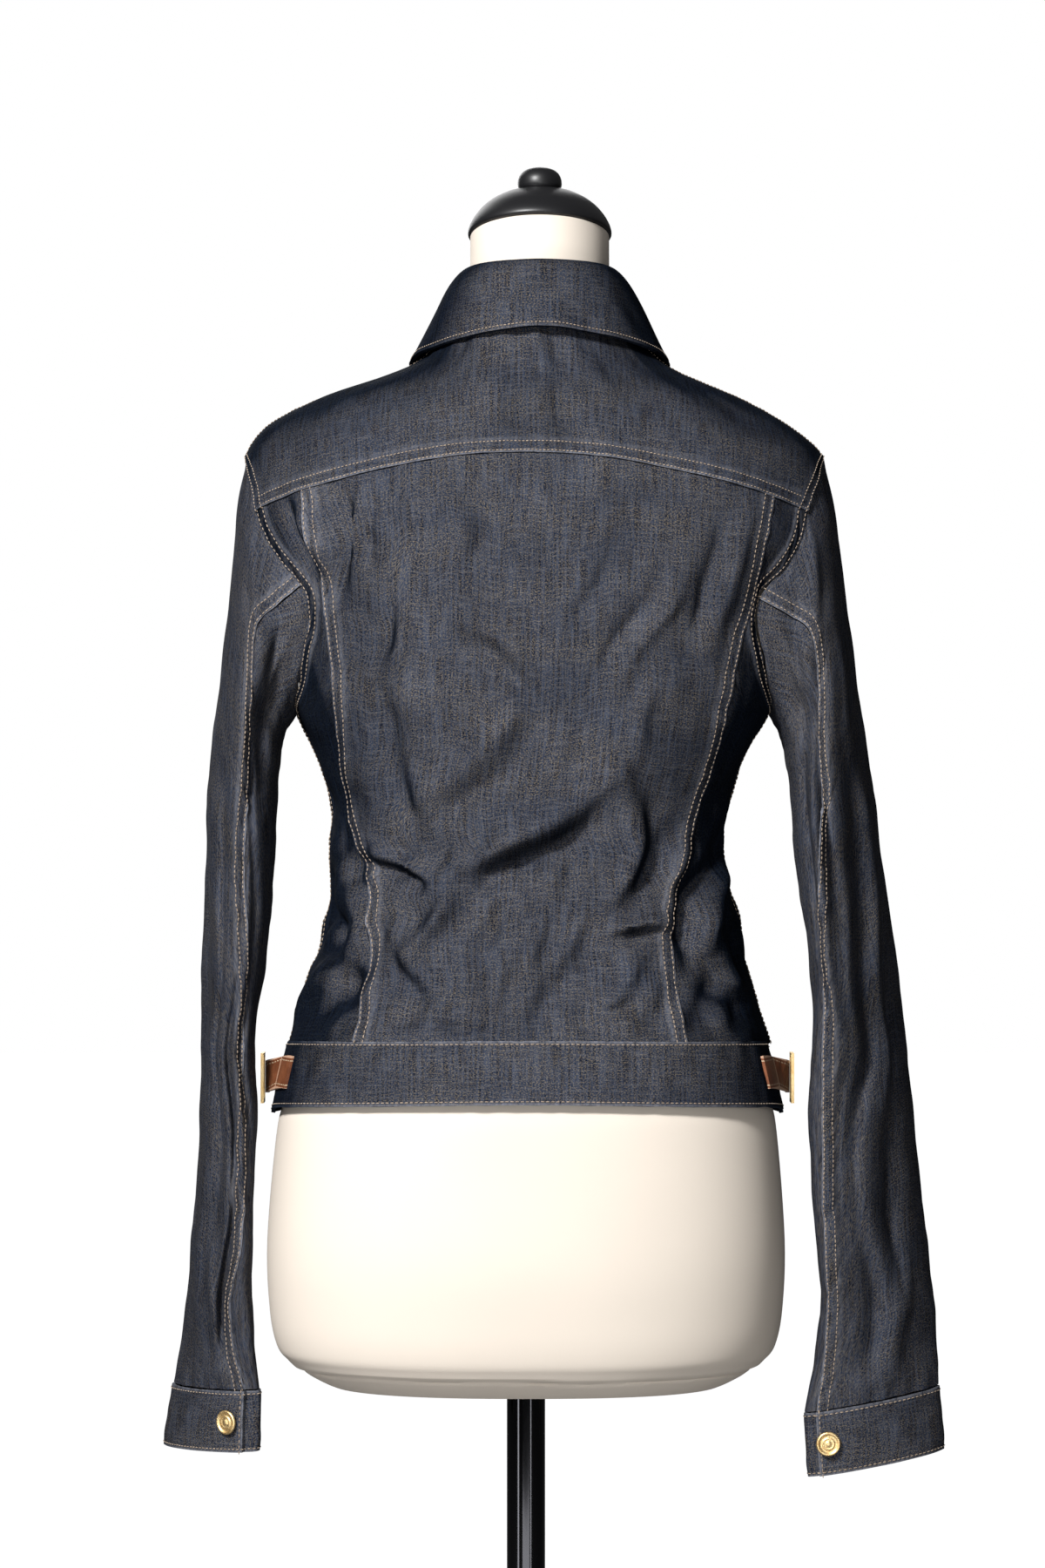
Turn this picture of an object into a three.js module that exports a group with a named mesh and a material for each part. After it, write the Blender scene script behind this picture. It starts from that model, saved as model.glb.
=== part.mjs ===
// A denim jacket on a limbless dress form, with its stand.
// Millimetres, +Z up. The origin is on the floor under the pole.
// The wearer faces -Y, and +X is the wearer's left.
import * as THREE from 'three';

// Driving dimensions of the cloth
const WALL = 1.8;
const BAND_WALL = 2.6;
const SEAM_GAP = 0.3;
const OVAL = 2.4;

// Driving dimensions of the armhole, and where the yoke seam and the neckline meet it
const ARMHOLE_CENTRE_Z = 1217;
const ARMHOLE_HALF_HEIGHT = 83;
const ARMHOLE_HALF_ANGLE = 20;
const ARMHOLE_ROUNDNESS = 0.87;
const ARMHOLE_STEPS = 12;
const YOKE_STEP = 4;
const SHOULDER_NECK_Z = 1396;
const FRONT_NECK_Z = 1352;

// Driving dimensions of the fastenings and the stand
const BUTTON_RADIUS = 8;
const BUTTON_HEIGHT = 4;
const PLACKET_HALF = 15;
const POLE_RADIUS = 12.5;
const BASE_RADIUS = 160;
const HUB_TOP_Z = 42;
const FORM_BOTTOM_Z = 696;

// Outer surface of the jacket's body. Half-widths are named by side, depths run back and front from the axis.
const BODY = [
  { z: 868, left: 167, right: 169, back: 117, front: 113 },
  { z: 922, left: 154, right: 156, back: 108, front: 105 },
  { z: 956, left: 142, right: 146, back: 98, front: 98 },
  { z: 990, left: 131, right: 139, back: 92, front: 94 },
  { z: 1024, left: 126.5, right: 130.5, back: 88, front: 93 },
  { z: 1041, left: 126.5, right: 128, back: 88, front: 95 },
  { z: 1075, left: 127, right: 133, back: 90, front: 103 },
  { z: 1110, left: 138, right: 145, back: 94, front: 113 },
  { z: 1135, left: 150, right: 159, back: 96, front: 118 },
  { z: 1167, left: 157, right: 171, back: 98, front: 121 },
  { z: 1197, left: 158, right: 174, back: 99, front: 121 },
  { z: 1222, left: 168, right: 188, back: 100, front: 118 },
  { z: 1244, left: 182, right: 196, back: 100, front: 112 },
  { z: 1265, left: 188, right: 197, back: 98, front: 102 },
  { z: 1300, left: 182, right: 194, back: 92, front: 84 },
  { z: 1320, left: 168, right: 172, back: 84, front: 72 },
  { z: 1338, left: 134, right: 139, back: 76, front: 62 },
  { z: 1352, left: 92, right: 105, back: 69, front: 56 },
  { z: 1362, left: 69, right: 87, back: 65, front: 54 },
  { z: 1376, left: 56, right: 74, back: 60, front: 53 },
  { z: 1400, left: 47, right: 65, back: 55, front: 52 },
];

// The two back seams that run from the yoke down to the waistband, as distances from the middle
const BACK_SEAM = [
  { z: 910, left: 108, right: 100 },
  { z: 929, left: 104, right: 97 },
  { z: 956, left: 99, right: 92 },
  { z: 995, left: 94.5, right: 88.5 },
  { z: 1027, left: 98, right: 93 },
  { z: 1065, left: 110, right: 105 },
  { z: 1109, left: 116, right: 118 },
  { z: 1175, left: 121, right: 133 },
  { z: 1228, left: 129.5, right: 146 },
  { z: 1285, left: 142, right: 160 },
];

// Largest folds, each a soft ridge (height above 0) or trough, through three points of the back as seen
const BODY_FOLDS = [
  { x1: -56, z1: 1093, xm: 0, zm: 1052, x2: 70, z2: 980, width: 13, height: 4.5 },
  { x1: -62, z1: 1062, xm: -6, zm: 1026, x2: 64, z2: 962, width: 11, height: -3.5 },
  { x1: -72, z1: 1090, xm: -66, zm: 1030, x2: -52, z2: 985, width: 10, height: -2.5 },
  { x1: 112, z1: 1042, xm: 106, zm: 1000, x2: 116, z2: 962, width: 10, height: -4 },
  { x1: -124, z1: 1042, xm: -106, zm: 1010, x2: -108, z2: 974, width: 10, height: -4.5 },
  { x1: 118, z1: 1272, xm: 118, zm: 1235, x2: 117, z2: 1196, width: 8, height: -3 },
  { x1: 150, z1: 1262, xm: 144, zm: 1240, x2: 138, z2: 1226, width: 9, height: -2.5 },
  { x1: 82, z1: 970, xm: 84, zm: 955, x2: 66, z2: 944, width: 9, height: -2.5 },
];

// Left and right sleeve. Each ring runs from its outer point to its inner point, and its depth and skew run
// front to back. cap is how much of the armhole's own shape is left, and seam is where the back seam lies.
const SLEEVES = {
  left: [
    { outX: 182, outZ: 1300, inX: 152, inZ: 1134, y: 0, depth: 50, skew: 0, cap: 1, seam: 90 },
    { outX: 188, outZ: 1272, inX: 155, inZ: 1127, y: 0, depth: 54, skew: -1, cap: 0.62, seam: 92 },
    { outX: 191, outZ: 1236, inX: 158, inZ: 1119, y: 0, depth: 57, skew: -2, cap: 0.3, seam: 95 },
    { outX: 195, outZ: 1196, inX: 160, inZ: 1108, y: 1, depth: 59, skew: -3, cap: 0.1, seam: 98 },
    { outX: 200, outZ: 1158, inX: 161, inZ: 1093, y: 2, depth: 60, skew: -5, cap: 0, seam: 101 },
    { outX: 205, outZ: 1120, inX: 162, inZ: 1074, y: 3, depth: 60, skew: -8, cap: 0, seam: 104 },
    { outX: 209, outZ: 1080, inX: 163.5, inZ: 1050, y: 3, depth: 59, skew: -12, cap: 0, seam: 107 },
    { outX: 211, outZ: 1040, inX: 164.5, inZ: 1022, y: 3, depth: 57, skew: -16, cap: 0, seam: 110 },
    { outX: 212, outZ: 1000, inX: 167, inZ: 990, y: 2, depth: 55, skew: -19, cap: 0, seam: 114 },
    { outX: 213, outZ: 960, inX: 172, inZ: 955, y: 1, depth: 53, skew: -21, cap: 0, seam: 124 },
    { outX: 214, outZ: 922, inX: 176, inZ: 920, y: -1, depth: 51, skew: -23, cap: 0, seam: 133 },
    { outX: 215, outZ: 888, inX: 176, inZ: 888, y: -3, depth: 48, skew: -25, cap: 0, seam: 134 },
    { outX: 217, outZ: 853, inX: 175.5, inZ: 853, y: -6, depth: 45, skew: -27, cap: 0, seam: 132 },
    { outX: 219, outZ: 819, inX: 177, inZ: 819, y: -9, depth: 41, skew: -29, cap: 0, seam: 136 },
    { outX: 222, outZ: 785, inX: 178, inZ: 786, y: -12, depth: 36, skew: -31, cap: 0, seam: 130 },
    { outX: 225, outZ: 751, inX: 178.5, inZ: 753, y: -15, depth: 31, skew: -33, cap: 0, seam: 112 },
    { outX: 230, outZ: 718, inX: 177, inZ: 722, y: -18, depth: 26, skew: -34, cap: 0, seam: 118 },
    { outX: 235, outZ: 689, inX: 173.5, inZ: 694, y: -20, depth: 20, skew: -34, cap: 0, seam: 128 },
  ],
  right: [
    { outX: -194, outZ: 1300, inX: -159, inZ: 1134, y: 0, depth: 50, skew: 0, cap: 1, seam: 90 },
    { outX: -201, outZ: 1270, inX: -162, inZ: 1127, y: 0, depth: 54, skew: -2, cap: 0.62, seam: 92 },
    { outX: -206, outZ: 1234, inX: -165, inZ: 1119, y: 0, depth: 57, skew: -5, cap: 0.3, seam: 95 },
    { outX: -211, outZ: 1196, inX: -168, inZ: 1108, y: 1, depth: 58, skew: -9, cap: 0.1, seam: 98 },
    { outX: -217, outZ: 1158, inX: -170, inZ: 1093, y: 2, depth: 57, skew: -14, cap: 0, seam: 101 },
    { outX: -223, outZ: 1120, inX: -172, inZ: 1074, y: 3, depth: 55, skew: -20, cap: 0, seam: 104 },
    { outX: -229, outZ: 1080, inX: -173.5, inZ: 1050, y: 3, depth: 52, skew: -26, cap: 0, seam: 110 },
    { outX: -235, outZ: 1040, inX: -176, inZ: 1022, y: 3, depth: 48, skew: -30, cap: 0, seam: 118 },
    { outX: -241, outZ: 1000, inX: -181, inZ: 990, y: 2, depth: 44, skew: -33, cap: 0, seam: 128 },
    { outX: -246, outZ: 960, inX: -184.5, inZ: 955, y: 1, depth: 41, skew: -34, cap: 0, seam: 136 },
    { outX: -251, outZ: 922, inX: -185, inZ: 920, y: 0, depth: 38, skew: -34, cap: 0, seam: 140 },
    { outX: -255, outZ: 888, inX: -184, inZ: 888, y: -1, depth: 35, skew: -33, cap: 0, seam: 140 },
    { outX: -259, outZ: 853, inX: -184, inZ: 851, y: -2, depth: 32, skew: -31, cap: 0, seam: 140 },
    { outX: -262, outZ: 819, inX: -185.5, inZ: 815, y: -4, depth: 28, skew: -29, cap: 0, seam: 142 },
    { outX: -265, outZ: 785, inX: -190, inZ: 779, y: -6, depth: 25, skew: -26, cap: 0, seam: 146 },
    { outX: -269, outZ: 752, inX: -192, inZ: 744, y: -8, depth: 22, skew: -22, cap: 0, seam: 150 },
    { outX: -272, outZ: 721, inX: -188, inZ: 709, y: -10, depth: 19, skew: -18, cap: 0, seam: 146 },
    { outX: -273, outZ: 691, inX: -182, inZ: 677, y: -12, depth: 16, skew: -16, cap: 0, seam: 140 },
  ],
};

// The longest folds of the sleeves: where they start and end down the rows, and how far round
const SLEEVE_FOLDS = {
  left: [
    { t1: 6, turn1: 128, t2: 14, turn2: 148, width: 11, height: -3.5 },
    { t1: 4, turn1: 60, t2: 9, turn2: 84, width: 14, height: -2.5 },
    { t1: 10, turn1: 66, t2: 15, turn2: 90, width: 12, height: -2.5 },
  ],
  right: [
    { t1: 4.5, turn1: 62, t2: 14, turn2: 110, width: 12, height: -4.5 },
    { t1: 3, turn1: 118, t2: 9, turn2: 128, width: 12, height: 3 },
    { t1: 9, turn1: 40, t2: 15, turn2: 70, width: 12, height: -2 },
  ],
};

// Cuffs, each from its top ring to its bottom ring, with the turn at which the outer lap ends
const CUFFS = {
  left: {
    top: { outX: 235.6, outZ: 688, inX: 172.5, inZ: 693, y: -20, depth: 19, skew: -34 },
    bottom: { outX: 242, outZ: 647, inX: 173, inZ: 653, y: -22, depth: 18, skew: -35 },
    lapEnd: 134,
    buttonTurn: 115,
  },
  right: {
    top: { outX: -273.5, outZ: 690, inX: -181.5, inZ: 676, y: -12, depth: 15, skew: -15 },
    bottom: { outX: -277, outZ: 648, inX: -184, inZ: 634, y: -14, depth: 14, skew: -15 },
    lapEnd: 146,
    buttonTurn: 134,
  },
};
const CUFF_LAP = 40;
const CUFF_LAP_RISE = 3.4;
const FRONT_SEAM_TURN = 240;

// Folded collar by angle from the middle of the back: fold line, outer edge and the seam at the neckline
const COLLAR_CENTRE_X = -9;
const COLLAR = [
  { angle: 0, foldR: 56, foldZ: 1424, edgeR: 66.5, edgeZ: 1380, seamR: 54.5, seamZ: 1397.3 },
  { angle: 45, foldR: 56, foldZ: 1422, edgeR: 75.5, edgeZ: 1371, seamR: 55.5, seamZ: 1397.3 },
  { angle: 90, foldR: 54.5, foldZ: 1414, edgeR: 85, edgeZ: 1362, seamR: 55.5, seamZ: 1397.3 },
  { angle: 125, foldR: 55, foldZ: 1400, edgeR: 88, edgeZ: 1354, seamR: 54, seamZ: 1391 },
  { angle: 150, foldR: 58, foldZ: 1388, edgeR: 81, edgeZ: 1332, seamR: 53, seamZ: 1383 },
  { angle: 172, foldR: 60, foldZ: 1378, edgeR: 82, edgeZ: 1314, seamR: 52, seamZ: 1370 },
];

// Dress form below the jacket, and then how far it lies inside the jacket's outer surface
const FORM_LOW = [
  { z: 696, left: 130, right: 130, back: 85, front: 79 },
  { z: 702, left: 143, right: 143, back: 94, front: 87 },
  { z: 711, left: 154, right: 154, back: 102, front: 95 },
  { z: 720, left: 162, right: 162, back: 108, front: 101 },
  { z: 740, left: 167, right: 167, back: 112.5, front: 105 },
  { z: 790, left: 169, right: 169, back: 117, front: 109 },
  { z: 835, left: 167, right: 167, back: 116, front: 108 },
  { z: 862, left: 162.5, right: 163.5, back: 112, front: 107 },
];
const FORM_INSET = [
  { z: 880, inset: 6.5 },
  { z: 920, inset: 6.5 },
  { z: 1000, inset: 9 },
  { z: 1060, inset: 10 },
  { z: 1135, inset: 13 },
  { z: 1200, inset: 15 },
  { z: 1250, inset: 14 },
  { z: 1290, inset: 8 },
  { z: 1310, inset: 4.6 },
  { z: 1324, inset: 3.2 },
  { z: 1344, inset: 3 },
  { z: 1358, inset: 3.6 },
];
const NECK = { x: -9, radiusX: 45.5, radiusY: 47, tilt: 0.2, lean: 0.12, baseZ: 1400 };

const degrees = (value) => value * Math.PI / 180;
const lerp = (a, b, share) => a + (b - a) * share;
const smooth = (low, high, value) => THREE.MathUtils.smoothstep(value, low, high);

// Reads one column of a table at any height, on a smooth curve through its rows
function column(rows, key, at, value) {
  const last = rows.length - 1;
  let row = 0;
  while (row < last - 1 && value > rows[row + 1][at]) row += 1;
  const before = rows[Math.max(row - 1, 0)];
  const start = rows[row];
  const end = rows[row + 1];
  const after = rows[Math.min(row + 2, last)];
  const span = end[at] - start[at];
  const share = THREE.MathUtils.clamp((value - start[at]) / span, 0, 1);
  const slopeIn = (end[key] - before[key]) / (end[at] - before[at]) * span;
  const slopeOut = (after[key] - start[key]) / (after[at] - start[at]) * span;
  const s2 = share * share;
  const s3 = s2 * share;
  return (2 * s3 - 3 * s2 + 1) * start[key] + (s3 - 2 * s2 + share) * slopeIn
    + (3 * s2 - 2 * s3) * end[key] + (s3 - s2) * slopeOut;
}

// Height of one fold at a point: a rounded ridge along a bent line, fading out towards both ends
function foldHeight(fold, x, z) {
  const steps = 10;
  let nearest = Infinity;
  let along = 0;
  for (let step = 0; step <= steps; step += 1) {
    const t = step / steps;
    const px = (1 - t) * (1 - t) * fold.x1 + 2 * t * (1 - t) * fold.xm + t * t * fold.x2;
    const pz = (1 - t) * (1 - t) * fold.z1 + 2 * t * (1 - t) * fold.zm + t * t * fold.z2;
    const distance = Math.hypot(x - px, z - pz);
    if (distance < nearest) {
      nearest = distance;
      along = t;
    }
  }
  const fade = Math.sin(Math.PI * Math.min(Math.max(along, 0.04), 0.96)) ** 0.6;
  return fold.height * fade * Math.exp(-((nearest / fold.width) ** 2));
}

// Radius of a rounded oval of four different half-sizes, at an angle from the middle of the back
function ovalRadius(size, angle) {
  const sine = Math.sin(angle);
  const cosine = Math.cos(angle);
  const width = sine > 0 ? size.left : size.right;
  const depth = cosine > 0 ? size.back : size.front;
  return ((Math.abs(sine) / width) ** OVAL + (Math.abs(cosine) / depth) ** OVAL) ** (-1 / OVAL);
}

function bodySize(z) {
  const size = {};
  for (const key of ['left', 'right', 'back', 'front']) size[key] = column(BODY, key, 'z', z);
  return size;
}

function bodyPlain(angle, z) {
  const radius = ovalRadius(bodySize(z), angle);
  return new THREE.Vector3(radius * Math.sin(angle), radius * Math.cos(angle), z);
}

function bodyPoint(angle, z) {
  const point = bodyPlain(angle, z);
  if (Math.cos(angle) < 0) return point;
  let height = 0;
  for (const fold of BODY_FOLDS) height += foldHeight(fold, point.x, z);
  const scale = 1 + height * smooth(0, 0.3, Math.cos(angle)) / Math.hypot(point.x, point.y);
  return new THREE.Vector3(point.x * scale, point.y * scale, z);
}

function bodyNormal(surface, angle, z) {
  const round = surface(angle + 0.02, z).sub(surface(angle - 0.02, z));
  const up = surface(angle, z + 2).sub(surface(angle, z - 2));
  return up.cross(round).normalize();
}

// Joins two grids of points, an outer and an inner one, into one closed wall
function wallSolid(outer, inner) {
  const rows = outer.length;
  const columns = outer[0].length;
  const points = [...outer.flat(), ...inner.flat()];
  const innerStart = rows * columns;
  const triangles = [];
  const quad = (a, b, c, d) => triangles.push(a, b, c, a, c, d);
  for (let row = 0; row < rows - 1; row += 1) {
    for (let col = 0; col < columns - 1; col += 1) {
      const at = row * columns + col;
      quad(at, at + 1, at + columns + 1, at + columns);
      quad(innerStart + at, innerStart + at + columns, innerStart + at + columns + 1, innerStart + at + 1);
    }
  }
  for (let col = 0; col < columns - 1; col += 1) {
    const top = (rows - 1) * columns + col;
    quad(col, innerStart + col, innerStart + col + 1, col + 1);
    quad(top, top + 1, innerStart + top + 1, innerStart + top);
  }
  for (let row = 0; row < rows - 1; row += 1) {
    const start = row * columns;
    const end = start + columns - 1;
    quad(start, start + columns, innerStart + start + columns, innerStart + start);
    quad(end, innerStart + end, innerStart + end + columns, end + columns);
  }
  return solid(points, triangles);
}

// Joins rings of equal length into one closed body, with a fan over each end
function ringSolid(rings) {
  const count = rings[0].length;
  const points = rings.flat();
  const triangles = [];
  for (let ring = 0; ring < rings.length - 1; ring += 1) {
    for (let step = 0; step < count; step += 1) {
      const next = (step + 1) % count;
      const low = ring * count;
      const high = low + count;
      triangles.push(low + step, low + next, high + next, low + step, high + next, high + step);
    }
  }
  for (const [ring, turned] of [[rings[0], true], [rings[rings.length - 1], false]]) {
    const centre = ring.reduce((sum, point) => sum.add(point), new THREE.Vector3()).divideScalar(count);
    const start = turned ? 0 : (rings.length - 1) * count;
    points.push(centre);
    for (let step = 0; step < count; step += 1) {
      const next = (step + 1) % count;
      if (turned) triangles.push(points.length - 1, start + next, start + step);
      else triangles.push(points.length - 1, start + step, start + next);
    }
  }
  return solid(points, triangles);
}

// Makes the geometry, and turns its faces so that they point out
function solid(points, triangles) {
  let volume = 0;
  for (let at = 0; at < triangles.length; at += 3) {
    const [a, b, c] = [points[triangles[at]], points[triangles[at + 1]], points[triangles[at + 2]]];
    volume += a.dot(new THREE.Vector3().crossVectors(b, c));
  }
  if (volume < 0) {
    for (let at = 0; at < triangles.length; at += 3) {
      [triangles[at], triangles[at + 1]] = [triangles[at + 1], triangles[at]];
    }
  }
  const geometry = new THREE.BufferGeometry();
  const places = points.flatMap((p) => [p.x, p.y, p.z]);
  geometry.setAttribute('position', new THREE.Float32BufferAttribute(places, 3));
  geometry.setIndex(triangles);
  geometry.computeVertexNormals();
  return geometry;
}

const finish = (color, roughness, metalness) => ({ color, roughness, metalness });
const DENIM = finish(0x2b3140, 0.85, 0);
const LEATHER = finish(0x6e3c1e, 0.55, 0);
const BRASS = finish(0xc98a3c, 0.35, 1);
const COVER = finish(0xe9e1d2, 0.9, 0);
const SATIN = finish(0x111113, 0.35, 0);
const BLACK_METAL = finish(0x15161a, 0.2, 1);

const model = new THREE.Group();
function add(name, geometry, look) {
  const mesh = new THREE.Mesh(geometry, new THREE.MeshStandardMaterial(look));
  mesh.name = name;
  model.add(mesh);
  return mesh;
}

// Waistband edges and the armhole, shared by every piece that meets them
const backShare = (angle) => Math.sqrt(Math.max(Math.cos(angle), 0));
const bandTop = (angle) => 917 + 8 * backShare(angle);
const bandBottom = (angle) => 872 + 13 * backShare(angle);

function armholeAt(turn) {
  const up = Math.cos(turn);
  const out = Math.abs(Math.sin(turn));
  return {
    z: ARMHOLE_CENTRE_Z + ARMHOLE_HALF_HEIGHT * Math.sign(up) * Math.abs(up) ** ARMHOLE_ROUNDNESS,
    offset: degrees(ARMHOLE_HALF_ANGLE) * out ** ARMHOLE_ROUNDNESS,
  };
}

const armhole = [];
for (let step = ARMHOLE_STEPS; step >= 0; step -= 1) armhole.push(armholeAt(Math.PI * step / ARMHOLE_STEPS));
const UNDERARM_Z = armhole[0].z;
const yokeRow = ARMHOLE_STEPS - YOKE_STEP;
const YOKE_SIDE_Z = armhole[yokeRow].z;

// Heights of the rows along the side of the body: side seam, armhole, then shoulder seam
const SIDE_ROWS = 13;
const SHOULDER_ROWS = 6;
const sideRows = [];
for (let row = 0; row < SIDE_ROWS; row += 1) {
  sideRows.push({ z: lerp(bandTop(degrees(90)), UNDERARM_Z, row / SIDE_ROWS), offset: 0 });
}
sideRows.push(...armhole);
for (let row = 1; row <= SHOULDER_ROWS; row += 1) {
  sideRows.push({ z: lerp(armhole[ARMHOLE_STEPS].z, SHOULDER_NECK_Z, row / SHOULDER_ROWS), offset: 0 });
}
const yokeSideRow = SIDE_ROWS + yokeRow;

// The yoke seam rises from the armhole to a level middle
const YOKE_MIDDLE_Z = 1297;
const yokeSeamZ = (share) => lerp(YOKE_MIDDLE_Z, YOKE_SIDE_Z, Math.abs(share) ** 2.6);

// Angle at which the body's surface is a given distance from the middle
function angleAt(x, z) {
  let low = 0;
  let high = Math.PI / 2;
  for (let step = 0; step < 30; step += 1) {
    const middle = (low + high) / 2;
    if (Math.abs(bodyPlain(Math.sign(x) * middle, z).x) < Math.abs(x)) low = middle;
    else high = middle;
  }
  return Math.sign(x) * low;
}

// A panel of the body from a grid of angles and heights, which may stand off the plain surface
function bodyPanel(grid, wall, rise = () => 0) {
  const outer = [];
  const inner = [];
  for (const row of grid) {
    const outerRow = [];
    const innerRow = [];
    for (const { angle, z } of row) {
      const normal = bodyNormal(bodyPoint, angle, z);
      const point = bodyPoint(angle, z).addScaledVector(normal, rise(angle));
      outerRow.push(point);
      innerRow.push(point.clone().addScaledVector(normal, -wall));
    }
    outer.push(outerRow);
    inner.push(innerRow);
  }
  return wallSolid(outer, inner);
}

// Height of a row of the back at any share of the way round from the middle to the side
function backRowZ(row, share, hem) {
  const side = sideRows[row].z;
  if (row <= SIDE_ROWS) return lerp(hem, UNDERARM_Z, row / SIDE_ROWS);
  const climb = (side - UNDERARM_Z) / (YOKE_SIDE_Z - UNDERARM_Z);
  return lerp(UNDERARM_Z, yokeSeamZ(share), climb);
}

const backEdge = (row) => degrees(90) - sideRows[row].offset;
const sign = { left: 1, right: -1 };

// Back panels: one in the middle and one at each side, meeting in the two long back seams
const YOKE_SEAM_SHARE = { left: 0, right: 0 };
for (const side of ['left', 'right']) {
  const top = column(BACK_SEAM, side, 'z', 1282);
  YOKE_SEAM_SHARE[side] = Math.abs(angleAt(sign[side] * top, 1282)) / backEdge(yokeSideRow);
}

function backSeamAngle(side, row) {
  const guess = backRowZ(row, YOKE_SEAM_SHARE[side], bandTop(degrees(55)));
  return angleAt(sign[side] * column(BACK_SEAM, side, 'z', guess), guess);
}

function backPoint(angle, row) {
  const share = Math.abs(angle) / backEdge(row);
  let z = backRowZ(row, share, bandTop(angle));
  if (row === 0) z += SEAM_GAP / 2;
  if (row === yokeSideRow) z -= SEAM_GAP / 2;
  return { angle, z };
}

const MEAN_RADIUS = 130;
const SEAM_ANGLE = SEAM_GAP / 2 / MEAN_RADIUS;

function backGrid(startAngle, endAngle, columns) {
  const grid = [];
  for (let row = 0; row <= yokeSideRow; row += 1) {
    const cells = [];
    for (let col = 0; col <= columns; col += 1) {
      cells.push(backPoint(lerp(startAngle(row), endAngle(row), col / columns), row));
    }
    grid.push(cells);
  }
  return grid;
}

const CENTRE_COLUMNS = 14;
const SIDE_COLUMNS = 6;
const leftSeam = (row) => backSeamAngle('left', row);
const rightSeam = (row) => backSeamAngle('right', row);
add('back_centre', bodyPanel(backGrid((row) => rightSeam(row) + SEAM_ANGLE,
  (row) => leftSeam(row) - SEAM_ANGLE, CENTRE_COLUMNS), WALL), DENIM);
add('back_side_left', bodyPanel(backGrid((row) => leftSeam(row) + SEAM_ANGLE,
  (row) => backEdge(row) - SEAM_ANGLE, SIDE_COLUMNS), WALL), DENIM);
add('back_side_right', bodyPanel(backGrid((row) => rightSeam(row) - SEAM_ANGLE,
  (row) => SEAM_ANGLE - backEdge(row), SIDE_COLUMNS), WALL), DENIM);

// Back yoke, from the yoke seam over both shoulders to the neckline, in the columns of the panels below it
function yokeShares() {
  const shares = [];
  const [left, right] = [leftSeam(yokeSideRow), rightSeam(yokeSideRow)];
  const edge = backEdge(yokeSideRow);
  for (let col = 0; col < SIDE_COLUMNS; col += 1) shares.push(lerp(-1, right / edge, col / SIDE_COLUMNS));
  for (let col = 0; col < CENTRE_COLUMNS; col += 1) {
    shares.push(lerp(right, left, col / CENTRE_COLUMNS) / edge);
  }
  for (let col = 0; col <= SIDE_COLUMNS; col += 1) shares.push(lerp(left / edge, 1, col / SIDE_COLUMNS));
  return shares;
}

const yokeGrid = [];
for (let row = yokeSideRow; row < sideRows.length; row += 1) {
  const climb = (sideRows[row].z - YOKE_SIDE_Z) / (SHOULDER_NECK_Z - YOKE_SIDE_Z);
  const lift = row === yokeSideRow ? SEAM_GAP / 2 : 0;
  yokeGrid.push(yokeShares().map((share) => ({
    angle: share * (backEdge(row) - SEAM_ANGLE),
    z: lerp(yokeSeamZ(share), SHOULDER_NECK_Z, climb) + lift,
  })));
}
add('back_yoke', bodyPanel(yokeGrid, WALL), DENIM);

// Fronts, which lap at the middle: the right one lies over the left one
const FRONT_COLUMNS = 9;
const lapRise = (side) => (angle) => {
  const across = Math.sin(angle) * 100;
  return side === 'right' ? 2.5 * smooth(-48, -PLACKET_HALF - 3, across) : 0;
};

function frontGrid(side) {
  const grid = [];
  const middle = degrees(180) + PLACKET_HALF / 110;
  sideRows.forEach((row, index) => {
    const climb = (row.z - bandTop(degrees(90))) / (SHOULDER_NECK_Z - bandTop(degrees(90)));
    const middleZ = lerp(bandTop(degrees(180)), FRONT_NECK_Z, climb);
    const edge = degrees(90) + row.offset + SEAM_ANGLE;
    const cells = [];
    for (let col = 0; col <= FRONT_COLUMNS; col += 1) {
      const share = col / FRONT_COLUMNS;
      const lift = index === 0 ? SEAM_GAP / 2 : 0;
      const z = lerp(row.z, middleZ, share ** 1.5) + lift;
      cells.push({ angle: sign[side] * lerp(edge, middle, share), z });
    }
    grid.push(cells);
  });
  return grid;
}
for (const side of ['left', 'right']) {
  add(`front_${side}`, bodyPanel(frontGrid(side), WALL, lapRise(side)), DENIM);
}

// Waistband: a doubled strip in three lengths, joined at the side seams, lapping at the front like the fronts
function bandGrid(start, end, columns) {
  const grid = [];
  for (let row = 0; row <= 3; row += 1) {
    const cells = [];
    for (let col = 0; col <= columns; col += 1) {
      const angle = lerp(start, end, col / columns);
      cells.push({ angle, z: lerp(bandBottom(angle), bandTop(angle) - SEAM_GAP / 2, row / 3) });
    }
    grid.push(cells);
  }
  return grid;
}
const BAND_RISE = 0.8;
const bandMiddle = degrees(180) + PLACKET_HALF / 110;
add('waistband_back', bodyPanel(bandGrid(SEAM_ANGLE - degrees(90), degrees(90) - SEAM_ANGLE, 26),
  BAND_WALL, () => BAND_RISE), DENIM);
for (const side of ['left', 'right']) {
  const grid = bandGrid(sign[side] * (degrees(90) + SEAM_ANGLE), sign[side] * bandMiddle, 13);
  const rise = (angle) => BAND_RISE + lapRise(side)(angle) * 1.4;
  add(`waistband_front_${side}`, bodyPanel(grid, BAND_WALL, rise), DENIM);
}

// Sleeves: rings that start on the armhole and swing down around the underarm
function ringPoint(ring, turn) {
  const half = Math.cos(turn) / 2;
  return new THREE.Vector3(
    (ring.outX + ring.inX) / 2 + (ring.outX - ring.inX) * half,
    ring.y + ring.skew * Math.cos(turn) + ring.depth * Math.sin(turn),
    (ring.outZ + ring.inZ) / 2 + (ring.outZ - ring.inZ) * half,
  );
}

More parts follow.
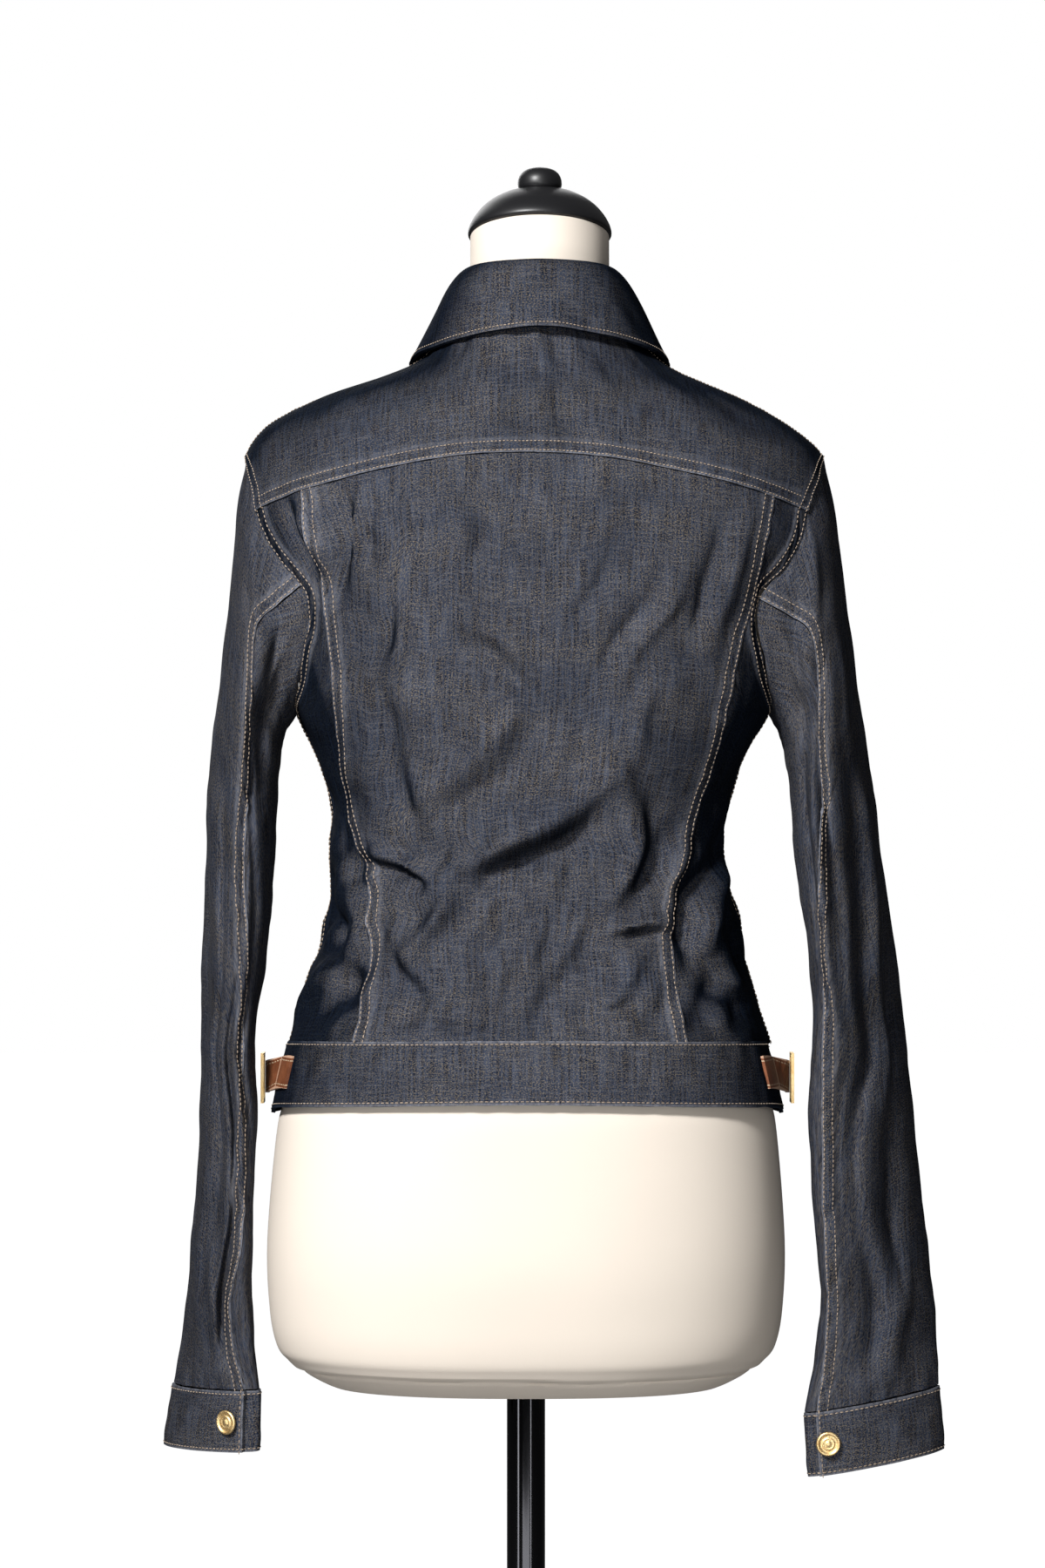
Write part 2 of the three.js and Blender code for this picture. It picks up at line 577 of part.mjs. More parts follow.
function armholePoint(side, turn) {
  const { z, offset } = armholeAt(turn);
  const angle = Math.sin(turn) >= 0 ? degrees(90) - offset : degrees(90) + offset;
  return { angle: sign[side] * angle, z };
}

function sleeveRing(side, t) {
  const rows = SLEEVES[side].map((row, index) => ({ ...row, index }));
  const ring = {};
  for (const key of Object.keys(SLEEVES[side][0])) ring[key] = column(rows, key, 'index', t);
  return ring;
}

function sleevePoint(side, t, turn) {
  const ring = sleeveRing(side, t);
  const point = ringPoint(ring, turn);
  if (ring.cap > 0.001) {
    const edge = armholePoint(side, turn);
    const shift = bodyPoint(edge.angle, edge.z).sub(ringPoint(SLEEVES[side][0], turn));
    point.addScaledVector(shift, ring.cap);
  }
  let height = 0;
  for (const fold of SLEEVE_FOLDS[side]) {
    const share = (t - fold.t1) / (fold.t2 - fold.t1);
    if (share <= 0 || share >= 1) continue;
    const away = (turn * 180 / Math.PI - lerp(fold.turn1, fold.turn2, share) + 540) % 360 - 180;
    height += fold.height * Math.sin(Math.PI * share) * Math.exp(-((away / fold.width) ** 2));
  }
  const centre = ringPoint({ ...ring, skew: 0, depth: 0 }, Math.PI / 2);
  const out = point.clone().sub(centre);
  return point.addScaledVector(out, height / out.length());
}

function sleeveNormal(side, t, turn) {
  const round = sleevePoint(side, t, turn + 0.03).sub(sleevePoint(side, t, turn - 0.03));
  const down = sleevePoint(side, t + 0.06, turn).sub(sleevePoint(side, Math.max(t - 0.06, 0), turn));
  return down.cross(round).normalize().multiplyScalar(sign[side]);
}

const SLEEVE_START = SEAM_GAP * 1.6;
const SLEEVE_CLEAR = 0.2;

function sleeveWallPoint(side, t, turn) {
  const point = sleevePoint(side, t, turn);
  const normal = sleeveNormal(side, t, turn);
  if (t === 0) {
    const edge = armholePoint(side, turn);
    const shell = bodyNormal(bodyPoint, edge.angle, edge.z);
    point.addScaledVector(sleevePoint(side, 0.25, turn).sub(point).normalize(), SLEEVE_START);
    point.addScaledVector(shell, SLEEVE_CLEAR * (1 - smooth(-0.2, 0.6, normal.dot(shell))));
    normal.lerp(shell, smooth(0, 0.5, normal.dot(shell))).normalize();
  }
  return { outer: point, inner: point.clone().addScaledVector(normal, -WALL) };
}

// One length of sleeve between two turns at the armhole, whose ends follow the two sleeve seams
function sleevePanel(side, startTurn, endTurn, rows) {
  const step = 180 / ARMHOLE_STEPS;
  const columns = Math.round((endTurn - startTurn) / step);
  const gap = SEAM_GAP / 2 / 45;
  const outer = [];
  const inner = [];
  for (let row = 0; row <= rows; row += 1) {
    const t = (SLEEVES[side].length - 1) * row / rows;
    const drift = sleeveRing(side, t).seam - 90;
    const start = startTurn + (startTurn === 90 ? drift : 0);
    const end = endTurn + (endTurn === 90 ? drift : 0);
    const line = [];
    for (let col = 0; col <= columns; col += 1) {
      const turn = degrees(lerp(start, end, col / columns));
      line.push(sleeveWallPoint(side, t, lerp(turn + gap, turn - gap, col / columns)));
    }
    outer.push(line.map((cell) => cell.outer));
    inner.push(line.map((cell) => cell.inner));
  }
  return wallSolid(outer, inner);
}

const SLEEVE_ROWS = 17;
for (const side of ['left', 'right']) {
  add(`sleeve_upper_${side}`, sleevePanel(side, FRONT_SEAM_TURN - 360, 90, SLEEVE_ROWS), DENIM);
  add(`sleeve_under_${side}`, sleevePanel(side, 90, FRONT_SEAM_TURN, SLEEVE_ROWS), DENIM);
}

// Cuffs: a doubled strip wound once round, whose outer lap rises over its start
function cuffPoint(side, share, turn, rise) {
  const { top, bottom } = CUFFS[side];
  const ring = {};
  for (const key of Object.keys(top)) ring[key] = lerp(bottom[key], top[key], share);
  const point = ringPoint(ring, turn);
  const across = ringPoint(ring, turn + 0.05).sub(ringPoint(ring, turn - 0.05));
  const normal = new THREE.Vector3(across.y, -across.x, 0).normalize().multiplyScalar(sign[side]);
  return { point: point.addScaledVector(normal, rise), normal };
}

const CUFF_COLUMNS = 32;
const cuffRise = (share) => BAND_WALL / 2 + CUFF_LAP_RISE * (smooth(0.62, 0.88, share) - 0.5);
for (const side of ['left', 'right']) {
  const { lapEnd, buttonTurn } = CUFFS[side];
  const outer = [];
  const inner = [];
  for (let row = 0; row <= 2; row += 1) {
    const line = [];
    for (let col = 0; col <= CUFF_COLUMNS; col += 1) {
      const share = col / CUFF_COLUMNS;
      const turn = degrees(lerp(lapEnd - CUFF_LAP, lapEnd + 360, share));
      const at = cuffPoint(side, row / 2, turn, cuffRise(share));
      line.push({ outer: at.point, inner: at.point.clone().addScaledVector(at.normal, -BAND_WALL) });
    }
    outer.push(line.map((cell) => cell.outer));
    inner.push(line.map((cell) => cell.inner));
  }
  add(`cuff_${side}`, wallSolid(outer, inner), DENIM);
  const share = (buttonTurn + 360 - lapEnd + CUFF_LAP) / (360 + CUFF_LAP);
  const seat = cuffPoint(side, 0.5, degrees(buttonTurn), cuffRise(share) + SEAM_GAP + 0.2);
  add(`cuff_button_${side}`, button(), BRASS).position.copy(seat.point);
  model.children.at(-1).quaternion.setFromUnitVectors(new THREE.Vector3(0, 0, 1), seat.normal);
}

// A tack button: a shank plate under a domed head with a raised rim
function button() {
  const profile = [[0, 0], [4, 0], [4, 1], [7.4, 1.4], [BUTTON_RADIUS, 2.4], [7, 3.5], [5.6, 2.9],
    [2.2, 3.1], [1.4, BUTTON_HEIGHT], [0, BUTTON_HEIGHT]];
  const geometry = new THREE.LatheGeometry(profile.map(([r, h]) => new THREE.Vector2(r, h)), 12);
  return geometry.rotateX(Math.PI / 2);
}

// Front buttons, one on the waistband and five up the right front
const FRONT_BUTTONS = [896, 968, 1048, 1128, 1208, 1288];
FRONT_BUTTONS.forEach((z, index) => {
  const normal = bodyNormal(bodyPoint, degrees(180), z);
  const rise = lapRise('right')(degrees(180));
  const proud = index === 0 ? BAND_RISE + rise * 1.4 : rise;
  const seat = bodyPoint(degrees(180), z).addScaledVector(normal, proud + SEAM_GAP);
  const mesh = add(`front_button_${index + 1}`, button(), BRASS);
  mesh.position.copy(seat);
  mesh.quaternion.setFromUnitVectors(new THREE.Vector3(0, 0, 1), normal);
});

// Collar: one folded wall from the neckline up over the fold line and down to the outer edge
const COLLAR_COLUMNS = 30;
const COLLAR_ROWS = 8;
const COLLAR_WALL = 2.4;
const COLLAR_SPAN = 170;
const COLLAR_FOLD_SHARE = 0.36;

function collarPoint(angle, place) {
  const share = THREE.MathUtils.clamp(place, 0, 1);
  const at = Math.abs(angle);
  const row = (key) => column(COLLAR, key, 'angle', at);
  const fold = share < COLLAR_FOLD_SHARE;
  const part = fold ? share / COLLAR_FOLD_SHARE : (share - COLLAR_FOLD_SHARE) / (1 - COLLAR_FOLD_SHARE);
  const bow = fold ? Math.sin(Math.PI * part) : 2.2 * Math.sin(Math.PI * part ** 0.45) ** 2;
  const radius = fold ? lerp(row('seamR'), row('foldR') - 3, part) - bow
    : lerp(row('foldR') - 3, row('edgeR'), part) + bow;
  const standZ = lerp(row('seamZ'), row('foldZ'), part ** 0.9);
  const z = fold ? standZ : lerp(row('foldZ'), row('edgeZ'), part ** 1.2);
  const turn = degrees(angle);
  return new THREE.Vector3(COLLAR_CENTRE_X + radius * Math.sin(turn), radius * Math.cos(turn), z);
}

function collarGrid(offset) {
  const grid = [];
  for (let row = 0; row <= COLLAR_ROWS; row += 1) {
    const line = [];
    for (let col = 0; col <= COLLAR_COLUMNS; col += 1) {
      const angle = lerp(-COLLAR_SPAN, COLLAR_SPAN, col / COLLAR_COLUMNS);
      const share = row / COLLAR_ROWS;
      const round = collarPoint(angle + 1, share).sub(collarPoint(angle - 1, share));
      const up = collarPoint(angle, share + 0.03).sub(collarPoint(angle, share - 0.03));
      line.push(collarPoint(angle, share).addScaledVector(round.cross(up).normalize(), offset));
    }
    grid.push(line);
  }
  return grid;
}
add('collar', wallSolid(collarGrid(COLLAR_WALL / 2), collarGrid(-COLLAR_WALL / 2)), DENIM);

// Side adjusters: a leather strap sewn flat on the back waistband, which leaves the cloth to reach its buckle
const TAB = {
  sewnZ: 901, endZ: 895, half: 10.4, wall: 2, sewnStart: 72.5, freeFrom: 80, freeTo: 88, end: 94, lift: 6.5,
};
const TAB_RISE = BAND_RISE + SEAM_GAP + TAB.wall + 0.2;
const TAB_COLUMNS = 8;
function tabPoint(side, turn, height, depth) {
  const angle = sign[side] * degrees(turn);
  const z = lerp(TAB.sewnZ, TAB.endZ, smooth(TAB.sewnStart, TAB.end, turn));
  const normal = bodyNormal(bodyPoint, angle, z + height);
  const level = normal.clone().setZ(0).normalize();
  const sewn = bodyPoint(angle, z + height).addScaledVector(normal, TAB_RISE - depth);
  const loose = bodyPoint(angle, z).addScaledVector(level, TAB_RISE + TAB.lift - depth);
  loose.z += height;
  return sewn.lerp(loose, smooth(TAB.freeFrom, TAB.freeTo, turn));
}
function tabGrid(side, depth) {
  return [-TAB.half, 0, TAB.half].map((height) => {
    const line = [];
    for (let col = 0; col <= TAB_COLUMNS; col += 1) {
      line.push(tabPoint(side, lerp(TAB.sewnStart, TAB.end, col / TAB_COLUMNS), height, depth));
    }
    return line;
  });
}
for (const side of ['left', 'right']) {
  add(`side_tab_${side}`, wallSolid(tabGrid(side, 0), tabGrid(side, TAB.wall)), LEATHER);
}

// Buckle: an upright flat frame on the strap, with a bar across its middle
const BUCKLE = { halfHeight: 16.3, halfLength: 9, wire: 2.6, depth: 2, angle: 90 };
function buckleFrame() {
  const { halfHeight, halfLength, wire } = BUCKLE;
  const outline = new THREE.Shape();
  outline.moveTo(-halfLength, -halfHeight);
  outline.lineTo(halfLength, -halfHeight);
  outline.lineTo(halfLength, halfHeight);
  outline.lineTo(-halfLength, halfHeight);
  for (const side of [-1, 1]) {
    const hole = new THREE.Path();
    const near = side * wire / 2;
    const far = side * (halfLength - wire);
    const nearHeight = halfHeight - wire + side * 0.2;
    const farHeight = nearHeight - 0.6;
    hole.moveTo(near, -nearHeight);
    hole.lineTo(near, nearHeight);
    hole.lineTo(far, farHeight);
    hole.lineTo(far, -farHeight);
    outline.holes.push(hole);
  }
  return new THREE.ExtrudeGeometry(outline, { depth: BUCKLE.depth, bevelEnabled: false });
}
for (const side of ['left', 'right']) {
  const angle = sign[side] * degrees(BUCKLE.angle);
  const normal = new THREE.Vector3(sign[side], 0, 0);
  const mesh = add(`buckle_${side}`, buckleFrame(), BRASS);
  mesh.position.copy(bodyPlain(angle, TAB.endZ).addScaledVector(normal, TAB_RISE + TAB.lift + 2 * SEAM_GAP));
  const up = new THREE.Vector3(0, 0, 1);
  const along = new THREE.Vector3().crossVectors(up, normal).normalize();
  const rise = new THREE.Vector3().crossVectors(normal, along);
  mesh.quaternion.setFromRotationMatrix(new THREE.Matrix4().makeBasis(along, rise, normal));
}

// Dress form: the hips below the jacket, the trunk inside it, and a short neck
const FORM_COLUMNS = 32;
function formRing(z, surface) {
  const ring = [];
  for (let col = 0; col < FORM_COLUMNS; col += 1) ring.push(surface(Math.PI * 2 * col / FORM_COLUMNS, z));
  return ring;
}
function formLow(angle, z) {
  const size = {};
  for (const key of ['left', 'right', 'back', 'front']) size[key] = column(FORM_LOW, key, 'z', z);
  const radius = ovalRadius(size, angle);
  return new THREE.Vector3(radius * Math.sin(angle), radius * Math.cos(angle), z);
}
function formTrunk(angle, z) {
  const inset = column(FORM_INSET, 'inset', 'z', z);
  return bodyPlain(angle, z).addScaledVector(bodyNormal(bodyPlain, angle, z), -inset);
}
function formNeck(angle, z) {
  const y = (NECK.baseZ - z) * NECK.lean + NECK.radiusY * Math.cos(angle);
  const tilt = NECK.tilt * y * smooth(1395, 1440, z);
  return new THREE.Vector3(NECK.x + NECK.radiusX * Math.sin(angle), y, z + tilt);
}
const NECK_TOP_Z = 1446;
const LOW_RINGS = [FORM_BOTTOM_Z, 699, 705, 713, 722, 745, 790, 860];
const TRUNK_RINGS = [
  884, 930, 980, 1030, 1080, 1125, 1165, 1205, 1240, 1270, 1292, 1308, 1324, 1336, 1347, 1358,
];
const NECK_RINGS = [1384, 1400, 1425, NECK_TOP_Z];
const formRings = LOW_RINGS.map((z) => formRing(z, formLow));
formRings.push(...TRUNK_RINGS.map((z) => formRing(z, formTrunk)));
formRings.push(...NECK_RINGS.map((z) => formRing(z, formNeck)));
add('dress_form', ringSolid(formRings), COVER);

// Neck cap: a low dome on the neck, with the turned knob on its top
const CAP_TOP = 31;
const CAP = [
  { rise: 0.4, share: 1.02 }, { rise: 3, share: 1.04 }, { rise: 11, share: 0.97 }, { rise: 20, share: 0.8 },
  { rise: 27, share: 0.55 }, { rise: CAP_TOP, share: 0.36 },
];
const NECK_Y = (NECK.baseZ - NECK_TOP_Z) * NECK.lean;
const capRings = CAP.map(({ rise, share }) => formRing(NECK_TOP_Z, formNeck).map((point) => new THREE.Vector3(
  NECK.x + (point.x - NECK.x) * share,
  NECK_Y + (point.y - NECK_Y) * share,
  NECK_TOP_Z + (point.z - NECK_TOP_Z) * share * (1 - rise / CAP_TOP) + rise,
)));
add('neck_cap', ringSolid(capRings), SATIN);
const KNOB = [[0, 0], [13.8, 0], [14.5, 2.5], [14.3, 5.6], [12.8, 9], [9, 12], [0, 13.6]];
const knob = new THREE.LatheGeometry(KNOB.map(([r, h]) => new THREE.Vector2(r, h)), 20).rotateX(Math.PI / 2);
add('neck_knob', knob, SATIN).position.set(NECK.x, NECK_Y, NECK_TOP_Z + CAP_TOP + SEAM_GAP);

// Pole and weighted base
const poleLength = FORM_BOTTOM_Z - HUB_TOP_Z - 2 * SEAM_GAP;
const pole = new THREE.CylinderGeometry(POLE_RADIUS, POLE_RADIUS, poleLength, 24);
pole.rotateX(Math.PI / 2);
add('pole', pole, BLACK_METAL).position.set(0, 0, (FORM_BOTTOM_Z + HUB_TOP_Z) / 2);
const BASE = [
  [0, 0], [BASE_RADIUS - 2, 0], [BASE_RADIUS, 2], [BASE_RADIUS, 7], [BASE_RADIUS - 3, 9.5],
  [60, 12], [30, 14], [21, 20], [18, HUB_TOP_Z], [0, HUB_TOP_Z],
];
const base = new THREE.LatheGeometry(BASE.map(([r, h]) => new THREE.Vector2(r, h)), 32).rotateX(Math.PI / 2);
add('base', base, BLACK_METAL);

export default model;
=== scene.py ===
import bpy
import numpy as np
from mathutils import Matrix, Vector


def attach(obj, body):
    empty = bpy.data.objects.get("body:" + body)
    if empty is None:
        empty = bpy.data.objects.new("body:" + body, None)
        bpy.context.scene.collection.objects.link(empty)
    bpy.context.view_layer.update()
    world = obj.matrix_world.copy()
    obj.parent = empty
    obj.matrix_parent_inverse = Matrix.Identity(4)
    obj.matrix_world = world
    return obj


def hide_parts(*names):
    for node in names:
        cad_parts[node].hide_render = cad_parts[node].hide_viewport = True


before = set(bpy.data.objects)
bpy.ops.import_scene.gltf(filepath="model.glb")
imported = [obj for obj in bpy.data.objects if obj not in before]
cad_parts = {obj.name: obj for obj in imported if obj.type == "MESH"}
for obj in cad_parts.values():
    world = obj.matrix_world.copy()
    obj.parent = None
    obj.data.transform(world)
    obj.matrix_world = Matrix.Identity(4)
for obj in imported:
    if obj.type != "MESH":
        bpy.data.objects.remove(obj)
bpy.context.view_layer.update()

# Camera, light and floor.
# The jacket is seen from behind, level with the waist, under wide soft light on a pale floor. None of this
# is part of the object.
CAMERA_DISTANCE = 2.9
CAMERA_HEIGHT = 1.087
CAMERA_X = 0.0023
LENS_MM = 101.75
SENSOR_MM = 36

camera_data = bpy.data.cameras.new("camera")
camera_data.sensor_fit = "VERTICAL"
camera_data.sensor_height = SENSOR_MM
camera_data.sensor_width = SENSOR_MM
camera_data.lens = LENS_MM
camera = bpy.data.objects.new("camera", camera_data)
camera.location = (CAMERA_X, CAMERA_DISTANCE, CAMERA_HEIGHT)
camera.rotation_euler = (np.radians(90), 0, np.radians(180))
bpy.context.collection.objects.link(camera)
bpy.context.scene.camera = camera


def area_light(name, place, target, size, power):
    data = bpy.data.lights.new(name, "AREA")
    data.shape = "RECTANGLE"
    data.size, data.size_y = size
    data.energy = power
    light = bpy.data.objects.new(name, data)
    light.location = place
    aim = Vector(target) - Vector(place)
    light.rotation_euler = aim.to_track_quat("-Z", "Y").to_euler()
    bpy.context.collection.objects.link(light)


JACKET_MIDDLE = (0, 0, 1.1)
area_light("key_light", (1.25, 2.4, 2.9), JACKET_MIDDLE, (0.5, 0.5), 186)
area_light("fill_light", (0.0, 3.2, 1.3), JACKET_MIDDLE, (0.8, 0.8), 14)
area_light("front_light", (0.6, -2.6, 2.2), JACKET_MIDDLE, (2.0, 2.0), 40)
area_light("bounce_light", (0.0, 1.5, 0.12), (0, 0, 0.74), (1.2, 0.5), 7)
area_light("pole_light_left", (1.5, 1.4, 0.3), (0, 0, 0.5), (0.3, 1.0), 5)
area_light("pole_light_right", (-1.1, 2.0, 0.3), (0, 0, 0.5), (0.16, 1.0), 3)

world = bpy.data.worlds.new("studio")
world.use_nodes = True
backdrop = world.node_tree.nodes["Background"].inputs
backdrop["Color"].default_value = (1, 1, 1, 1)
seen = world.node_tree.nodes.new("ShaderNodeLightPath").outputs["Is Camera Ray"]
strength = world.node_tree.nodes.new("ShaderNodeMapRange")
strength.inputs["To Min"].default_value = 0.1
strength.inputs["To Max"].default_value = 1.0
world.node_tree.links.new(seen, strength.inputs["Value"])
world.node_tree.links.new(strength.outputs["Result"], backdrop["Strength"])
bpy.context.scene.world = world
bpy.context.scene.view_settings.view_transform = "Standard"

bpy.ops.mesh.primitive_plane_add(size=30, location=(0, 0, -0.001))
floor = bpy.context.active_object
floor.name = "studio_floor"
floor_look = bpy.data.materials.new("pale floor")
floor_look.use_nodes = True
floor_shader = floor_look.node_tree.nodes["Principled BSDF"]
floor_shader.inputs["Base Color"].default_value = (0.12, 0.12, 0.12, 1)
floor_shader.inputs["Roughness"].default_value = 0.8
floor_shader.inputs["Emission Color"].default_value = (1, 1, 1, 1)
seen = floor_look.node_tree.nodes.new("ShaderNodeLightPath").outputs["Is Camera Ray"]
floor_look.node_tree.links.new(seen, floor_shader.inputs["Emission Strength"])
floor.data.materials.append(floor_look)

# Base and pole.
# A turned steel plate, lacquered black, has a hub in which a tube in polished black chrome stands.
# Their outlines run from the middle of the underside to the middle of the top, in millimetres.
METRE = 0.001
BASE = (
    (0, 0), (157, 0), (159, 0.6), (160, 2), (160, 7), (159, 8.8), (156, 9.6), (110, 11), (60, 12.2),
    (30, 14), (24, 16), (21, 20), (18.6, 28), (18, 41), (17.4, 42), (0, 42),
)
POLE = ((0, 42.3), (12.5, 42.3), (12.5, 42.8), (12.5, 695.2), (12.5, 695.7), (0, 695.7))


def new_material(name, **values):
    material = bpy.data.materials.new(name)
    material.use_nodes = True
    shader = material.node_tree.nodes["Principled BSDF"]
    for socket, value in values.items():
        shader.inputs[socket.replace("_", " ")].default_value = value
    return material, material.node_tree, shader


def node(tree, kind, links=None, **settings):
    """Adds a shader or geometry node, sets its properties and values, and links its inputs."""
    made = tree.nodes.new(kind)
    for key, value in settings.items():
        setattr(made, key, value)
    for socket, source in (links or {}).items():
        if hasattr(source, "is_output"):
            tree.links.new(source, made.inputs[socket])
        else:
            made.inputs[socket].default_value = source
    return made


def ramp(tree, factor, *stops):
    made = node(tree, "ShaderNodeValToRGB", {"Fac": factor})
    elements = made.color_ramp.elements
    while len(elements) < len(stops):
        elements.new(0.5)
    for element, (place, shade) in zip(elements, stops):
        element.position = place
        element.color = (*shade, 1) if isinstance(shade, tuple) else (shade, shade, shade, 1)
    return made.outputs["Color"]


def object_noise(tree, scale, detail=3, roughness=0.5, stretch=(1, 1, 1)):
    place = node(tree, "ShaderNodeTexCoord").outputs["Object"]
    moved = node(tree, "ShaderNodeMapping", {"Vector": place, "Scale": stretch}).outputs["Vector"]
    values = {"Vector": moved, "Scale": scale, "Detail": detail, "Roughness": roughness}
    return node(tree, "ShaderNodeTexNoise", values).outputs["Fac"]


def bump(tree, shader, height, distance, strength=1.0):
    made = node(tree, "ShaderNodeBump", {"Height": height, "Distance": distance, "Strength": strength})
    tree.links.new(made.outputs["Normal"], shader.inputs["Normal"])


def make_mesh(name, points, faces, uv=None, wear=None):
    """A mesh in metres, smooth but for its sharp edges, with its faces turned outward."""
    points = np.asarray(points) * METRE
    faces = np.asarray(faces)
    corners = points[faces]
    parts = [np.einsum("ij,ij->i", corners[:, 0], np.cross(corners[:, k], corners[:, k + 1]))
             for k in range(1, faces.shape[1] - 1)]
    if sum(part.sum() for part in parts) < 0:
        faces = faces[:, ::-1]
    mesh = bpy.data.meshes.new(name)
    mesh.vertices.add(len(points))
    mesh.vertices.foreach_set("co", points.ravel())
    mesh.loops.add(faces.size)
    mesh.loops.foreach_set("vertex_index", faces.ravel())
    mesh.polygons.add(len(faces))
    mesh.polygons.foreach_set("loop_start", np.arange(len(faces)) * faces.shape[1])
    mesh.update(calc_edges=True)
    mesh.validate()
    if uv is not None:
        layer = mesh.uv_layers.new(name="cloth")
        vertex = np.empty(len(mesh.loops), int)
        mesh.loops.foreach_get("vertex_index", vertex)
        layer.data.foreach_set("uv", (uv[vertex] * METRE).ravel())
    if wear is not None:
        mesh.attributes.new("wear", "FLOAT", "POINT").data.foreach_set("value", wear)
    mesh.shade_smooth()
    mesh.set_sharp_from_angle(angle=np.radians(50))
    made = bpy.data.objects.new(name, mesh)
    bpy.context.collection.objects.link(made)
    return made


def stands_for(made, name, material):
    """Gives a mesh its finish and puts it in the place of its frame node."""
    made.data.materials.append(material)
    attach(made, "root")
    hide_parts(name)


def round_body(name, rings, material, ends=None):
    """A closed body through rings. Its ends are flat with a crisp rim, unless their middles are given."""
    rows, columns = rings.shape[:2]
    flat = ends is None
    if flat:
        ends = rings[0].mean(0), rings[-1].mean(0)
    points = np.concatenate([rings.reshape(-1, 3), ends])
    index = np.arange(rows * columns).reshape(rows, columns)
    after = np.roll(index, -1, axis=1)
    faces = np.stack([index[:-1], after[:-1], after[1:], index[1:]], -1).reshape(-1, 4).tolist()
    for end, row in ((rows * columns, 0), (rows * columns + 1, rows - 1)):
        for at in range(0, columns, 2):
            corner = [row * columns + (at + k) % columns for k in range(3)]
            faces.append([end, *corner] if row else [end, *corner[::-1]])
    made = make_mesh(f"{name}_shape", points, faces)
    for edge in made.data.edges:
        first, second = (vertex // columns for vertex in edge.vertices)
        if flat and first == second and first in (0, rows - 1):
            edge.use_edge_sharp = True
    stands_for(made, name, material)


def lathe(name, profile, material, place=(0, 0, 0), axis=(0, 0, 1), segments=48):
    """A turned body on its own axis, from an outline of distances from the axis and heights."""
    turn = np.linspace(0, 2 * np.pi, segments, endpoint=False)[:, None]
    axis = Vector(axis).normalized()
    side = axis.orthogonal().normalized()
    ring = np.cos(turn) * np.array(side) + np.sin(turn) * np.array(axis.cross(side))
    rings = [radius * ring + height * np.array(axis) + np.array(place) for radius, height in profile]
    round_body(name, np.array(rings[1:-1]), material, (rings[0][0], rings[-1][0]))


lacquer, tree, shader = new_material("black lacquer", Base_Color=(0.012, 0.012, 0.014, 1), Roughness=0.25)
shader.inputs["Coat Weight"].default_value = 0.6
tree.links.new(ramp(tree, object_noise(tree, 18, 4), (0.4, 0.22), (0.7, 0.38)), shader.inputs["Roughness"])
lathe("base", BASE, lacquer, segments=96)

black_chrome, tree, shader = new_material("black chrome", Base_Color=(0.05, 0.05, 0.055, 1), Metallic=1)
streaks = object_noise(tree, 40, 2, stretch=(1, 1, 0.05))
tree.links.new(ramp(tree, streaks, (0.3, 0.08), (0.7, 0.16)), shader.inputs["Roughness"])
lathe("pole", POLE, black_chrome, segments=64)

# The jacket's body as a surface.
# The back, yoke, fronts and waistband all lie on one rounded form, which is given here by its half-widths
# and depths at each height, in millimetres. Every cloth piece below is cut from it by angle and height.
OVAL = 2.4
WALL = 1.8
SEAM_GAP = 0.3
BODY_RADIUS = 130
SEAM_ANGLE = SEAM_GAP / 2 / BODY_RADIUS


def table(columns, *rows):
    return dict(zip(columns.split(), np.array(rows, float).T))


BODY = table("z left right back front",
    (868, 167, 169, 117, 113), (922, 154, 156, 108, 105), (956, 142, 146, 98, 98), (990, 131, 139, 92, 94),
    (1024, 126.5, 130.5, 88, 93), (1041, 126.5, 128, 88, 95), (1075, 127, 133, 90, 103),
    (1110, 138, 145, 94, 113), (1135, 150, 159, 96, 118), (1167, 157, 171, 98, 121),
    (1197, 158, 174, 99, 121), (1222, 168, 188, 100, 118), (1244, 182, 196, 100, 112),
    (1265, 188, 197, 98, 102), (1300, 182, 194, 92, 84), (1320, 168, 172, 84, 72),
    (1338, 134, 139, 76, 62), (1352, 92, 105, 69, 56), (1362, 69, 87, 65, 54), (1376, 56, 74, 60, 53),
    (1400, 47, 65, 55, 52))

